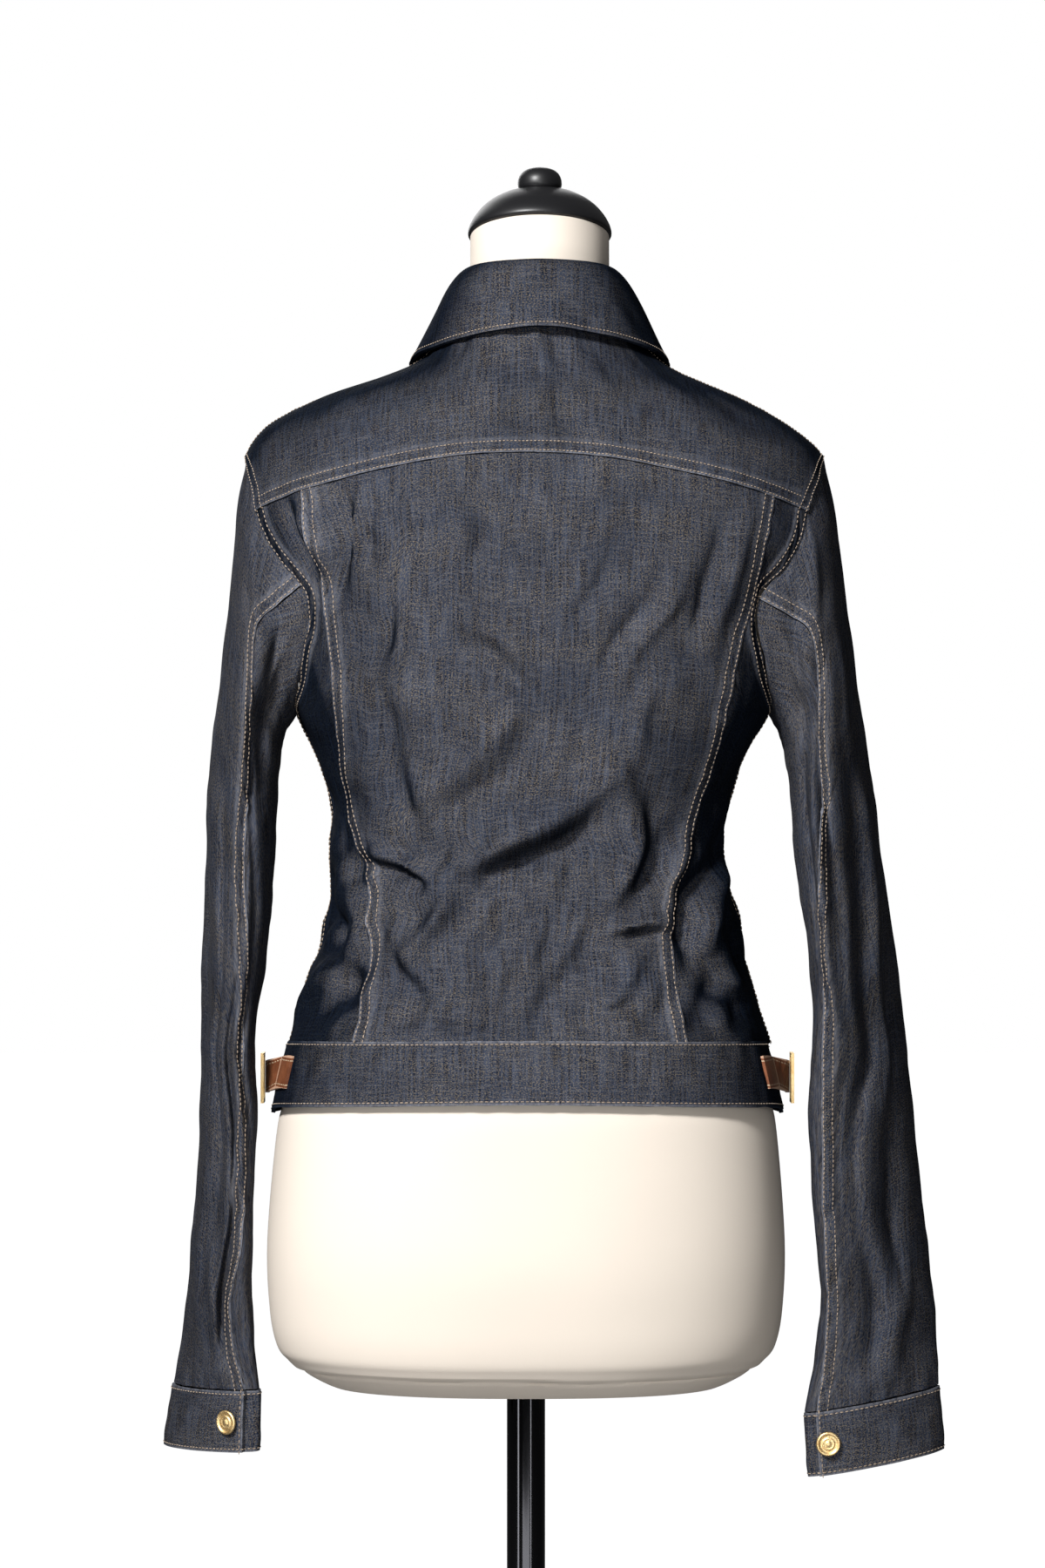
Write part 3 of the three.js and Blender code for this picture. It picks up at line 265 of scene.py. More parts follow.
# Folds: each has its widths left and right of its way, its height (a ridge is above 0) and then its way
BACK_FOLDS = (
    (18, 10, 4.6, (-56, 1093), (-34, 1071), (-15, 1062), (2, 1053), (19, 1046), (36, 1037), (46, 1028)),
    (16, 7, 3.7, (45, 1032), (49, 1010), (61, 997), (72, 983), (82, 968)),
    (9, 12, -3.1, (-47, 1065), (-21, 1048), (2, 1037), (24, 1025), (36, 1010)),
    (10, 5, 2.7, (101, 1047), (86, 1041), (74, 1034), (60, 1025)),
    (6, 9, -3.1, (104, 1038), (87, 1032), (73, 1025), (62, 1018)),
    (12, 7, 3.4, (119, 1043), (111, 1016), (104, 999), (109, 987), (118, 978), (121, 968)),
    (8, 8, -3.4, (129, 1010), (120, 994), (125, 982), (131, 973)),
    (9, 9, -2.7, (122, 968), (114, 960), (107, 948)),
    (36, 15, 2.8, (-58, 1108), (-64, 1060), (-60, 1004)),
    (14, 12, 2.5, (-62, 1076), (-58, 1032), (-47, 1004)),
    (7, 5, -2.3, (-50, 991), (-69, 992), (-91, 991)),
    (8, 12, 2.7, (-91, 999), (-69, 998), (-50, 997)),
    (9, 7, -3.7, (-121, 1041), (-110, 1016), (-101, 990), (-106, 975)),
    (10, 12, 3.4, (-131, 1046), (-120, 1020), (-112, 994), (-118, 973)),
    (9, 9, 2.7, (-103, 1054), (-94, 1026), (-90, 1004)),
    (7, 9, -2.9, (119, 1276), (117, 1250), (119, 1225), (118, 1197)),
    (9, 7, 2.2, (110, 1274), (109, 1247), (110, 1218)),
    (6, 7, -1.9, (103, 1276), (103, 1252), (101, 1220)),
    (9, 6, -2.7, (154, 1268), (149, 1252), (139, 1230), (131, 1218)),
    (10, 8, 2.3, (144, 1262), (138, 1244), (127, 1225)),
    (8, 8, -2, (79, 1203), (89, 1181), (99, 1166)),
    (12, 8, 1.9, (72, 1197), (80, 1176), (89, 1160)),
    (14, 9, 1.9, (-100, 1220), (-80, 1192), (-55, 1147)),
    (9, 12, -1.9, (-91, 1224), (-71, 1195), (-44, 1151)),
    (10, 9, -1.7, (-58, 1235), (-47, 1214), (-29, 1183)),
    (12, 12, 1.6, (40, 1274), (41, 1252), (43, 1228)),
    (9, 9, -1.6, (32, 1269), (34, 1241), (40, 1218)),
    (8, 10, -2.2, (83, 982), (79, 965), (67, 948)),
    (12, 9, 2.2, (71, 988), (66, 970), (54, 953)),
    (6, 5, -1.7, (-40, 945), (-53, 943), (-66, 944)),
    (5, 4, -1.5, (101, 935), (52, 934), (-1, 935)),
    (14, 12, -2, (-47, 982), (-34, 962), (-21, 941)),
    (13, 14, 2.2, (-75, 977), (-62, 957), (-50, 937)),
    (14, 10, -2, (19, 999), (24, 971), (21, 944)),
    (15, 14, 1.9, (-1, 1010), (2, 977), (-3, 946)),
    (8, 10, 2.2, (-144, 1268), (-132, 1230), (-122, 1192), (-117, 1159)),
    (8, 8, -2.2, (-128, 1258), (-118, 1218), (-108, 1181)),
    (12, 12, 1.7, (2, 1142), (19, 1115), (46, 1087), (74, 1070)),
    (12, 10, -1.7, (-9, 1126), (12, 1100), (40, 1076), (66, 1061)),
    (10, 12, -1.9, (90, 1142), (87, 1109), (79, 1076), (66, 1054)),
    (11, 11, 1.6, (-75, 1153), (-71, 1126), (-73, 1098)),
    (12, 9, 1.7, (52, 1197), (19, 1181), (-9, 1153)),
    (10, 10, -1.4, (46, 1181), (19, 1169), (-3, 1142)),
    (6, 6, -1.5, (-153, 1225), (-149, 1197), (-153, 1175)),
    (9, 7, 2.3, (168, 1120), (151, 1087), (131, 1065), (120, 1043)),
    (8, 9, -2.3, (159, 1126), (146, 1095), (127, 1073)),
    (9, 9, 2.2, (146, 944), (134, 960), (122, 977)),
    (8, 8, -2, (136, 935), (127, 953), (116, 964)),
    (9, 8, 2.2, (-158, 1115), (-144, 1087), (-130, 1065)),
    (8, 8, -2.2, (-150, 1120), (-138, 1093), (-122, 1070)),
    (9, 9, 2, (-147, 933), (-136, 953), (-122, 968)),
    (8, 9, -2, (-138, 930), (-126, 948), (-114, 960)),
)
# The fronts, seen from the front, pull towards the buttons, the waist and the armholes
FRONT_FOLDS = (
    (10, 10, -2, (0, 1128), (43, 1145), (92, 1172)),
    (10, 10, -2.2, (0, 1128), (-46, 1140), (-98, 1162)),
    (8, 8, -2.4, (4, 1048), (49, 1050), (104, 1064)),
    (8, 8, -2.2, (-4, 1050), (-52, 1048), (-108, 1058)),
    (8, 8, -2, (6, 1010), (54, 1020), (110, 1034)),
    (7, 7, -1.8, (-6, 1004), (-56, 1016), (-116, 1030)),
    (9, 9, -2, (0, 968), (47, 981), (96, 1004)),
    (9, 9, -1.8, (0, 968), (-44, 984), (-92, 1008)),
    (9, 9, -2.6, (142, 1240), (120, 1207), (96, 1180)),
    (9, 9, -2.6, (-148, 1236), (-124, 1205), (-100, 1176)),
    (8, 8, -1.6, (130, 1206), (110, 1175), (84, 1150)),
    (8, 8, -1.8, (-136, 1210), (-114, 1181), (-86, 1158)),
    (10, 10, -1.4, (60, 1296), (54, 1262), (50, 1226)),
    (9, 9, -1.4, (-58, 1300), (-54, 1264), (-54, 1230)),
    (6, 6, -1.4, (52, 960), (47, 944), (44, 928)),
    (6, 6, -1.4, (-66, 964), (-62, 948), (-62, 930)),
    (7, 7, -1.6, (100, 990), (98, 960), (100, 932)),
    (7, 7, -1.6, (-104, 992), (-102, 962), (-104, 934)),
)


def smooth(low, high, value):
    share = np.clip((value - low) / (high - low), 0, 1)
    return share * share * (3 - 2 * share)


def mix(start, end, share):
    return start + (end - start) * share


def column(rows, key, at, value):
    """Reads a column of a table at any place, on a smooth curve through its rows."""
    places, values = rows[at], rows[key]
    last = len(places) - 1
    value = np.asarray(value, float)
    row = np.clip(np.searchsorted(places, value, side="left") - 1, 0, last - 1)
    before, after = np.maximum(row - 1, 0), np.minimum(row + 2, last)
    span = places[row + 1] - places[row]
    share = np.clip((value - places[row]) / span, 0, 1)
    slope_in = (values[row + 1] - values[before]) / (places[row + 1] - places[before]) * span
    slope_out = (values[after] - values[row]) / (places[after] - places[row]) * span
    s2, s3 = share ** 2, share ** 3
    return ((2 * s3 - 3 * s2 + 1) * values[row] + (s3 - 2 * s2 + share) * slope_in
            + (3 * s2 - 2 * s3) * values[row + 1] + (s3 - s2) * slope_out)


FOLD_DEPTH = 2.2
FOLD_WIDTH = 0.7
WAVES = 9
CREASED_LOW = 918
CREASED_TOP = 1010


def fold_heights(folds, x, z):
    """Height of the folds at each point: ridges and troughs along bent ways, fading out at their ends."""
    total = np.zeros(np.shape(x))
    x, z = x + ripple(x, z, 7, 55, 2.2), z + ripple(x, z, 8, 55, 2.2)
    for soft, steep, height, *way in folds:
        way = np.array(way, float)
        spans = np.linalg.norm(np.diff(way, axis=0), axis=1)
        starts = np.concatenate([[0], np.cumsum(spans)])
        nearest = np.full(np.shape(x), np.inf)
        along, side = np.zeros(np.shape(x)), np.ones(np.shape(x))
        for at, span in enumerate(spans):
            (ax, az), (bx, bz) = way[at], way[at + 1]
            share = np.clip(((x - ax) * (bx - ax) + (z - az) * (bz - az)) / span ** 2, 0, 1)
            distance = np.hypot(x - mix(ax, bx, share), z - mix(az, bz, share))
            closer = distance < nearest
            nearest = np.where(closer, distance, nearest)
            along = np.where(closer, (starts[at] + share * span) / starts[-1], along)
            side = np.where(closer, (bx - ax) * (z - az) - (bz - az) * (x - ax), side)
        fade = np.sin(np.pi * np.clip(along, 0.03, 0.97)) ** 0.6
        width = FOLD_WIDTH * mix(steep, soft, smooth(-1, 1, side / 300))
        total += FOLD_DEPTH * height * fade * np.exp(-((nearest / width) ** 2))
    return total


def ripple(x, z, seed, size, height):
    """Soft unevenness of worn cloth, as a sum of a few crossing waves."""
    draw = np.random.default_rng(seed)
    total = np.zeros(np.shape(x))
    for _ in range(WAVES):
        turn, phase = draw.uniform(0, np.pi), draw.uniform(0, 2 * np.pi)
        length = size * draw.uniform(0.6, 1.8)
        total += np.sin((x * np.cos(turn) + z * np.sin(turn)) * 2 * np.pi / length + phase)
    return total * height / 3


def oval(angle, left, right, back, front):
    sine, cosine = np.sin(angle), np.cos(angle)
    width = np.where(sine > 0, left, right)
    depth = np.where(cosine > 0, back, front)
    radius = ((np.abs(sine) / width) ** OVAL + (np.abs(cosine) / depth) ** OVAL) ** (-1 / OVAL)
    return radius * sine, radius * cosine


def body_plain(angle, z):
    x, y = oval(angle, *(column(BODY, key, "z", z) for key in ("left", "right", "back", "front")))
    return np.stack([x, y, np.broadcast_to(z, np.shape(x))], -1)


def body_point(angle, z):
    point = body_plain(angle, z)
    x, y = point[..., 0], point[..., 1]
    cosine = np.cos(angle)
    height = np.where(cosine > 0, fold_heights(BACK_FOLDS, x, z) * smooth(0, 0.2, cosine),
                      fold_heights(FRONT_FOLDS, x, z) * smooth(0, 0.25, -cosine))
    around = angle * BODY_RADIUS
    height += ripple(around, z * 0.55, 3, 40, 1.0) + ripple(around, z * 0.7, 4, 16, 0.3)
    creased = smooth(CREASED_TOP + 90, CREASED_TOP, z) * smooth(CREASED_LOW, CREASED_LOW + 27, z)
    height += ripple(around, z, 12, 26, 1.5) * creased
    scale = 1 + height / np.hypot(x, y)
    return np.stack([x * scale, y * scale, point[..., 2]], -1)


def angle_at(x, z):
    """Angle at which the body's surface is a given distance from the middle."""
    low, high = np.zeros(np.shape(z)), np.full(np.shape(z), np.pi / 2)
    for _ in range(30):
        middle = (low + high) / 2
        short = np.abs(body_plain(np.sign(x) * middle, z)[..., 0]) < np.abs(x)
        low, high = np.where(short, middle, low), np.where(short, high, middle)
    return np.sign(x) * low


# Seams of the body.
# The side edge of every panel climbs the side seam, goes round the armhole and then follows the shoulder
# seam, and the rows are counted along it. The yoke seam is level in the middle and falls to the armholes.
ARMHOLE_CENTRE_Z = 1217
ARMHOLE_HALF_HEIGHT = 83
ARMHOLE_HALF_ANGLE = np.radians(20)
ARMHOLE_ROUNDNESS = 0.87
SIDE_ROWS = 13
ARMHOLE_ROWS = 12
SHOULDER_ROWS = 6
YOKE_ROW = SIDE_ROWS + 8
LAST_ROW = SIDE_ROWS + ARMHOLE_ROWS + SHOULDER_ROWS
SHOULDER_NECK_Z = 1396
YOKE_MIDDLE_Z = 1297
UNDERARM_Z = ARMHOLE_CENTRE_Z - ARMHOLE_HALF_HEIGHT
SHOULDER_TIP_Z = ARMHOLE_CENTRE_Z + ARMHOLE_HALF_HEIGHT


def band_top(angle):
    return 917 + 8 * np.sqrt(np.maximum(np.cos(angle), 0))


def band_bottom(angle):
    return 872 + 13 * np.sqrt(np.maximum(np.cos(angle), 0))


def armhole_at(turn):
    """Height and way round the body of the armhole, from its top at 0 down to the underarm."""
    up, out = np.cos(turn), np.abs(np.sin(turn))
    z = ARMHOLE_CENTRE_Z + ARMHOLE_HALF_HEIGHT * np.sign(up) * np.abs(up) ** ARMHOLE_ROUNDNESS
    return z, ARMHOLE_HALF_ANGLE * out ** ARMHOLE_ROUNDNESS


# The armhole swings out at the shoulder blade and cuts in below it, in degrees round the body
ARMHOLE_SHIFT = table("turn shift",
    (0, 0), (40, -1.6), (60, -2.4), (74, -2.6), (85, -0.6), (94, 3), (105, 2.8), (120, 2.2), (140, 1.4),
    (165, 0.3), (180, 0))


def armhole_back(turn):
    z, offset = armhole_at(turn)
    degrees = np.degrees(np.clip(turn, 0, np.pi))
    return z, offset + np.radians(column(ARMHOLE_SHIFT, "shift", "turn", degrees))


def side_edge(row, armhole=armhole_at):
    """Height of a row at the side, and how far round the armhole reaches there."""
    row = np.asarray(row, float)
    low = mix(band_top(np.pi / 2), UNDERARM_Z, row / SIDE_ROWS)
    inside = np.clip(row - SIDE_ROWS, 0, ARMHOLE_ROWS)
    hole_z, offset = armhole(np.pi * (1 - inside / ARMHOLE_ROWS))
    high = mix(SHOULDER_TIP_Z, SHOULDER_NECK_Z, (row - SIDE_ROWS - ARMHOLE_ROWS) / SHOULDER_ROWS)
    z = np.where(row < SIDE_ROWS, low, np.where(row > SIDE_ROWS + ARMHOLE_ROWS, high, hole_z))
    return z, np.where((row < SIDE_ROWS) | (row > SIDE_ROWS + ARMHOLE_ROWS), 0, offset)


YOKE_SIDE_Z = float(side_edge(YOKE_ROW)[0])


def back_edge(row):
    return np.pi / 2 - side_edge(row, armhole_back)[1]


def yoke_seam_z(share):
    return mix(YOKE_MIDDLE_Z, YOKE_SIDE_Z, np.abs(share) ** 2.6)


def back_z(row, share, hem):
    climb = (side_edge(row)[0] - UNDERARM_Z) / (YOKE_SIDE_Z - UNDERARM_Z)
    return np.where(row <= SIDE_ROWS, mix(hem, UNDERARM_Z, row / SIDE_ROWS),
                    mix(UNDERARM_Z, yoke_seam_z(share), climb))


# Sewing.
# Each piece is a grid of points on its form. It gets a raised lap where a felled seam doubles the cloth, a
# slight pucker along it, its thickness, closed edges, and a weave that runs with the piece.
LAP_WIDTH = 9.0
LAP_HEIGHT = 0.7


def lengths(points, axis):
    steps = np.linalg.norm(np.diff(points, axis=axis), axis=-1)
    total = np.cumsum(steps, axis=axis)
    start = np.zeros_like(np.take(total, [0], axis=axis))
    return np.concatenate([start, total], axis=axis)


def grid_normals(points):
    up = np.gradient(points, axis=0)
    across = np.gradient(points, axis=1)
    normal = np.cross(up, across)
    return normal / np.maximum(np.linalg.norm(normal, axis=-1, keepdims=True), 1e-9)


class Cloth:
    """A piece of cloth: its points, the way out, and the lengths along it from each edge."""

    def __init__(self, points, flip=False):
        self.points, self.flip = points, flip
        self.measure()
        self.wear = np.zeros(points.shape[:2])

    def measure(self):
        self.normals = grid_normals(self.points) * (-1 if self.flip else 1)
        across, up = lengths(self.points, 1), lengths(self.points, 0)
        self.across, self.up = across, up
        self.from_edge = {"start": across, "end": across[:, -1:] - across,
                          "bottom": up, "top": up[-1:] - up}

    def raise_by(self, height):
        self.points = self.points + self.normals * height[..., None]
        self.measure()

    def lap(self, edge, seed, height=LAP_HEIGHT, width=LAP_WIDTH, pucker=0.35):
        """Raises the doubled strip along an edge, with the small waves that the stitching draws up."""
        distance = self.from_edge[edge]
        along = self.up if edge in ("start", "end") else self.across
        strip = 1 - smooth(width - 1.5, width + 1.5, distance)
        waves = ripple(along, distance * 0.6, seed, 11, pucker) * np.exp(-((distance / width) ** 2) * 0.8)
        self.wear = np.maximum(self.wear, (1 - smooth(0.2, 2.2, distance)) * 0.9)
        self.wear = np.maximum(self.wear, 0.4 * np.exp(-(((distance - width) / 1.6) ** 2)))
        self.raise_by(strip * height + waves)

    def row(self, edge, distance, lift=0.25):
        """Path of a row of stitches at a distance from an edge, with the way out at each point."""
        sideways = edge in ("start", "end")
        lines = range(self.points.shape[0] if sideways else self.points.shape[1])
        path = []
        for line in lines:
            part = (line, slice(None)) if sideways else (slice(None), line)
            places = self.from_edge[edge][part]
            order = slice(None) if edge in ("start", "bottom") else slice(None, None, -1)
            point = [np.interp(distance, places[order], self.points[part][order, k]) for k in range(3)]
            way = [np.interp(distance, places[order], self.normals[part][order, k]) for k in range(3)]
            path.append((np.array(point) + np.array(way) * lift, np.array(way)))
        return path


def wall_faces(rows, columns):
    """Faces of an outer and an inner grid, joined round their edges."""
    index = np.arange(rows * columns).reshape(rows, columns)
    a, b, c, d = index[:-1, :-1], index[:-1, 1:], index[1:, 1:], index[1:, :-1]
    outer = np.stack([a, b, c, d], -1).reshape(-1, 4)
    inner = np.stack([a, d, c, b], -1).reshape(-1, 4) + rows * columns
    ring = np.concatenate([index[0, :], index[1:, -1], index[-1, -2::-1], index[-2:0:-1, 0]])
    after = np.roll(ring, -1)
    rim = np.stack([after, ring, ring + rows * columns, after + rows * columns], -1)
    return np.concatenate([outer, inner, rim])


def state_sheet(name):
    """Reads a piece's name, but states nothing for it: every branch is empty."""
    if name.startswith("sleeve"):
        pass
    elif name.startswith("cuff"):
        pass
    elif name == "collar":
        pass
    else:
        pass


def sew(name, cloth, wall=WALL, uv_shift=(0, 0)):
    """Makes a cloth piece's mesh with its thickness, and puts it in the place of its frame node."""
    rows, columns = cloth.points.shape[:2]
    inner = cloth.points - cloth.normals * wall
    points = np.concatenate([cloth.points.reshape(-1, 3), inner.reshape(-1, 3)])
    middle = cloth.across[:, columns // 2][:, None]
    uv = np.stack([cloth.across - middle + uv_shift[0], cloth.up + uv_shift[1]], -1).reshape(-1, 2)
    made = make_mesh(f"{name}_cloth", points, wall_faces(rows, columns), np.tile(uv, (2, 1)),
                     np.tile(cloth.wear.ravel(), 2))
    # Side panels take the copy with more painted shade, sleeves and cuffs the one with less
    if "side" in name:
        look = side_denim_more_painted_shade
    else:
        look = sleeve_denim_less_painted_shade if name.startswith(("sleeve", "cuff")) else denim
    stands_for(made, name, look)
    state_sheet(name)


# Denim.
# A dark indigo warp with a tan weft showing through it in specks, streaked along the warp, paler where
# seams and folded edges rub. It is drawn along each piece's own cloth grain, and painted shade darkens it
# where the cloth turns away from the eye.
INDIGO_DEEP = (0.003, 0.006, 0.015, 1)
INDIGO_WORN = (0.026, 0.036, 0.060, 1)
WEFT_BLUE = (0.062, 0.070, 0.092, 1)
WEFT_TAN = (0.180, 0.146, 0.100, 1)
RUBBED = (0.15, 0.155, 0.18, 1)
# Painted shade: the dark blue that the denim's colour is multiplied towards where it turns away from the
# eye
PAINTED_SHADE_COLOUR = (0.10, 0.14, 0.20, 1)
WHITE = (1, 1, 1, 1)


def maths(tree, kind, *values):
    return node(tree, "ShaderNodeMath", dict(enumerate(values)), operation=kind).outputs[0]


def blend(tree, share, first, second):
    made = node(tree, "ShaderNodeMix", data_type="RGBA")
    for socket, value in zip([socket for socket in made.inputs if socket.enabled], (share, first, second)):
        if hasattr(value, "is_output"):
            tree.links.new(value, socket)
        else:
            socket.default_value = value
    return [socket for socket in made.outputs if socket.enabled][0]


def denim_weave():
    tree = bpy.data.node_groups.new("denim weave", "ShaderNodeTree")
    for name, way, kind in (("Grain", "INPUT", "Vector"), ("Wear", "INPUT", "Float"),
                            ("Painted shade", "INPUT", "Float"), ("Color", "OUTPUT", "Color"),
                            ("Roughness", "OUTPUT", "Float"), ("Height", "OUTPUT", "Float")):
        tree.interface.new_socket(name=name, in_out=way, socket_type=f"NodeSocket{kind}")
    given = tree.nodes.new("NodeGroupInput").outputs
    out = tree.nodes.new("NodeGroupOutput").inputs

    def noise(stretch, scale, detail=2, roughness=0.5):
        drawn = node(tree, "ShaderNodeMapping", {"Vector": given["Grain"], "Scale": stretch}).outputs[0]
        values = {"Vector": drawn, "Scale": scale, "Detail": detail, "Roughness": roughness}
        return node(tree, "ShaderNodeTexNoise", values).outputs["Fac"]

    def mask(value, none, full, low=0.0, high=1.0):
        return ramp(tree, value, (none, low), (full, high))

    streak = noise((1, 0.05, 1), 620, 3, 0.65)
    pick = noise((0.09, 1, 1), 700, 2, 0.6)
    speck = noise((1, 1.2, 1), 950, 2, 0.75)
    cloud = noise((1, 0.6, 1), 22, 4, 0.6)
    warp = blend(tree, mask(streak, 0.38, 0.64), INDIGO_DEEP, INDIGO_WORN)
    picked = blend(tree, maths(tree, "MULTIPLY", mask(pick, 0.5, 0.66), 0.45), warp, WEFT_BLUE)
    patches = maths(tree, "MULTIPLY", mask(noise((0.6, 1.5, 1), 24, 3), 0.35, 0.65), 0.28)
    tinge = maths(tree, "ADD", 0.38, patches)
    woven = blend(tree, maths(tree, "MULTIPLY", mask(speck, 0.48, 0.62), tinge), picked, WEFT_TAN)
    rub = mask(noise((1, 0.5, 1), 420, 3), 0.3, 0.62, 0.15)
    rubbed = blend(tree, maths(tree, "MULTIPLY", given["Wear"], rub), woven, RUBBED)
    shade = maths(tree, "ADD", maths(tree, "MULTIPLY", cloud, 0.9), 0.62)
    # Painted shade: the weave's colour is multiplied darker where the cloth turns away from the eye
    painted_shade = blend(tree, given["Painted shade"], WHITE, PAINTED_SHADE_COLOUR)
    weave_under_painted_shade = node(tree, "ShaderNodeVectorMath", {0: rubbed, 1: painted_shade}, operation="MULTIPLY").outputs["Vector"]
    dark = node(tree, "ShaderNodeVectorMath", {0: weave_under_painted_shade, "Scale": shade}, operation="SCALE")
    tree.links.new(dark.outputs["Vector"], out["Color"])
    polish = maths(tree, "MULTIPLY", given["Wear"], 0.12)
    tree.links.new(maths(tree, "SUBTRACT", 0.92, polish), out["Roughness"])
    twill = node(tree, "ShaderNodeTexWave", {"Vector": given["Grain"], "Scale": 260.0, "Distortion": 1.5},
                 bands_direction="DIAGONAL").outputs["Fac"]
    threads = maths(tree, "ADD", maths(tree, "MULTIPLY", speck, 0.6), twill)
    tree.links.new(maths(tree, "ADD", maths(tree, "MULTIPLY", streak, 0.6), threads), out["Height"])
    return tree


DENIM_WEAVE = denim_weave()


def denim_look(name, turned):
    """The denim, with painted shade that darkens it where the cloth turns away from the eye; turned scales
    it.
    """
    material, tree, shader = new_material(name)
    shader.inputs["Specular IOR Level"].default_value = 0.02
    grain = node(tree, "ShaderNodeUVMap", uv_map="cloth").outputs["UV"]
    wear = node(tree, "ShaderNodeAttribute", attribute_name="wear").outputs["Fac"]
    # Painted shade: how far the surface faces away from the eye sets how much the denim is darkened
    away = node(tree, "ShaderNodeLayerWeight", {"Blend": 0.5}).outputs["Facing"]
    share = maths(tree, "MULTIPLY", ramp(tree, away, (0.0, 0.0), (0.6, 1.0)), turned)
    weave = node(tree, "ShaderNodeGroup", node_tree=DENIM_WEAVE)
    for socket, value in (("Grain", grain), ("Wear", wear), ("Painted shade", share)):
        tree.links.new(value, weave.inputs[socket])
    tree.links.new(weave.outputs["Color"], shader.inputs["Base Color"])
    tree.links.new(weave.outputs["Roughness"], shader.inputs["Roughness"])
    bump(tree, shader, weave.outputs["Height"], 0.00005, 0.5)
    return material


# Three copies of one denim that differ only in painted shade: the side panels get more, the sleeves and
# cuffs less
denim = denim_look("dark indigo denim", 1.0)
side_denim_more_painted_shade = denim_look("dark indigo denim, side panels, more painted shade", 1.5)
sleeve_denim_less_painted_shade = denim_look("dark indigo denim, sleeves, less painted shade", 0.35)

# Back.
# Three panels: a wide middle one and a narrow one at each side, joined by two long felled seams that curve
# in at the waist. The middle panel laps over the side panels, and the yoke over all three.
GRID = 2.6
ROW_HEIGHT = 17
BACK_SEAM_SHIFT = 4.5
BACK_SEAM_TOP_Z = 1282.0
BACK_SEAM_HEM_ANGLE = np.radians(55)
BACK_SEAM = table("z left right",
    (910, 108, 100), (929, 104, 97), (956, 99, 92), (995, 94.5, 88.5), (1027, 98, 93), (1065, 110, 105),
    (1109, 116, 118), (1175, 121, 133), (1228, 129.5, 146), (1285, 142, 160))
SIDES = {"left": 1, "right": -1}
STITCH_ROWS = {"body": [], "fine": [], "sleeve": [], "cuff": []}


def twin_rows(kind, cloth, edge, near=1.4, far=7.4):
    for distance in (near, far):
        STITCH_ROWS[kind].append(cloth.row(edge, distance))


def seam_share(side):
    """How far out a back seam ends at the yoke, as a share of the way to the armhole."""
    top = float(column(BACK_SEAM, side, "z", BACK_SEAM_TOP_Z)) + BACK_SEAM_SHIFT
    angle = angle_at(SIDES[side] * top, np.array(BACK_SEAM_TOP_Z))
    return abs(float(angle)) / float(back_edge(YOKE_ROW))


SEAM_SHARE = {side: seam_share(side) for side in SIDES}


def back_seam(side, row):
    z = back_z(row, SEAM_SHARE[side], band_top(BACK_SEAM_HEM_ANGLE))
    return angle_at(SIDES[side] * (column(BACK_SEAM, side, "z", z) + BACK_SEAM_SHIFT), z)


def back_cloth(start, end, columns):
    rows = np.linspace(0, YOKE_ROW, int(YOKE_ROW * ROW_HEIGHT / GRID))[:, None]
    share = np.linspace(0, 1, columns)[None, :]
    angle = mix(start(rows), end(rows), share)
    z = back_z(rows, np.abs(angle) / back_edge(rows), band_top(angle))
    return Cloth(body_point(angle, z))


back_centre = back_cloth(lambda row: back_seam("right", row) + SEAM_ANGLE,
                         lambda row: back_seam("left", row) - SEAM_ANGLE, 110)
back_centre.lap("start", 21)
back_centre.lap("end", 22)
twin_rows("body", back_centre, "start")
twin_rows("body", back_centre, "end")
sew("back_centre", back_centre)
for side, sign in SIDES.items():
    side_back = back_cloth(lambda row: back_seam(side, row) + sign * SEAM_ANGLE,
                           lambda row: sign * (back_edge(row) - SEAM_ANGLE), 32)
    side_back.flip = side == "right"
    side_back.measure()
    side_back.lap("end", 23, pucker=0.3)
    twin_rows("body", side_back, "end")
    sew(f"back_side_{side}", side_back, uv_shift=(150 * sign, 0))

# Yoke.
# One piece across the shoulders, from the yoke seam over both shoulder seams to the neckline, lapped over
# the back and topstitched twice along its lower edge and beside the armholes.
YOKE_RISE = 0.5
rows = np.linspace(YOKE_ROW, LAST_ROW, 56)[:, None]
share = np.linspace(-1, 1, 150)[None, :]
climb = (side_edge(rows)[0] - YOKE_SIDE_Z) / (SHOULDER_NECK_Z - YOKE_SIDE_Z)
z = mix(yoke_seam_z(share), SHOULDER_NECK_Z, climb) + SEAM_GAP / 2 * (rows == YOKE_ROW)
yoke = Cloth(body_point(share * (back_edge(rows) - SEAM_ANGLE), z))
yoke.raise_by(np.full(yoke.points.shape[:2], YOKE_RISE))
for edge, seed in (("bottom", 31), ("start", 32), ("end", 33)):
    yoke.lap(edge, seed)
    twin_rows("fine", yoke, edge)
sew("back_yoke", yoke, uv_shift=(0, 400))

# Fronts.
# Two plain fronts, each turned under along its edge, with one row of stitches at the edge and one at the
# turned part's end. The right one laps over the left for the buttons.
FRONT_NECK_Z = 1352
FRONT_LAP_RISE = 2.5
PLACKET_HALF = 15
PLACKET_ANGLE = PLACKET_HALF / 110
FACING_WIDTH = 34


def lap_rise(side, angle):
    across = np.sin(angle) * 100
    rise = FRONT_LAP_RISE if side == "right" else 0
    return rise * smooth(-48, -PLACKET_HALF - 3, across)


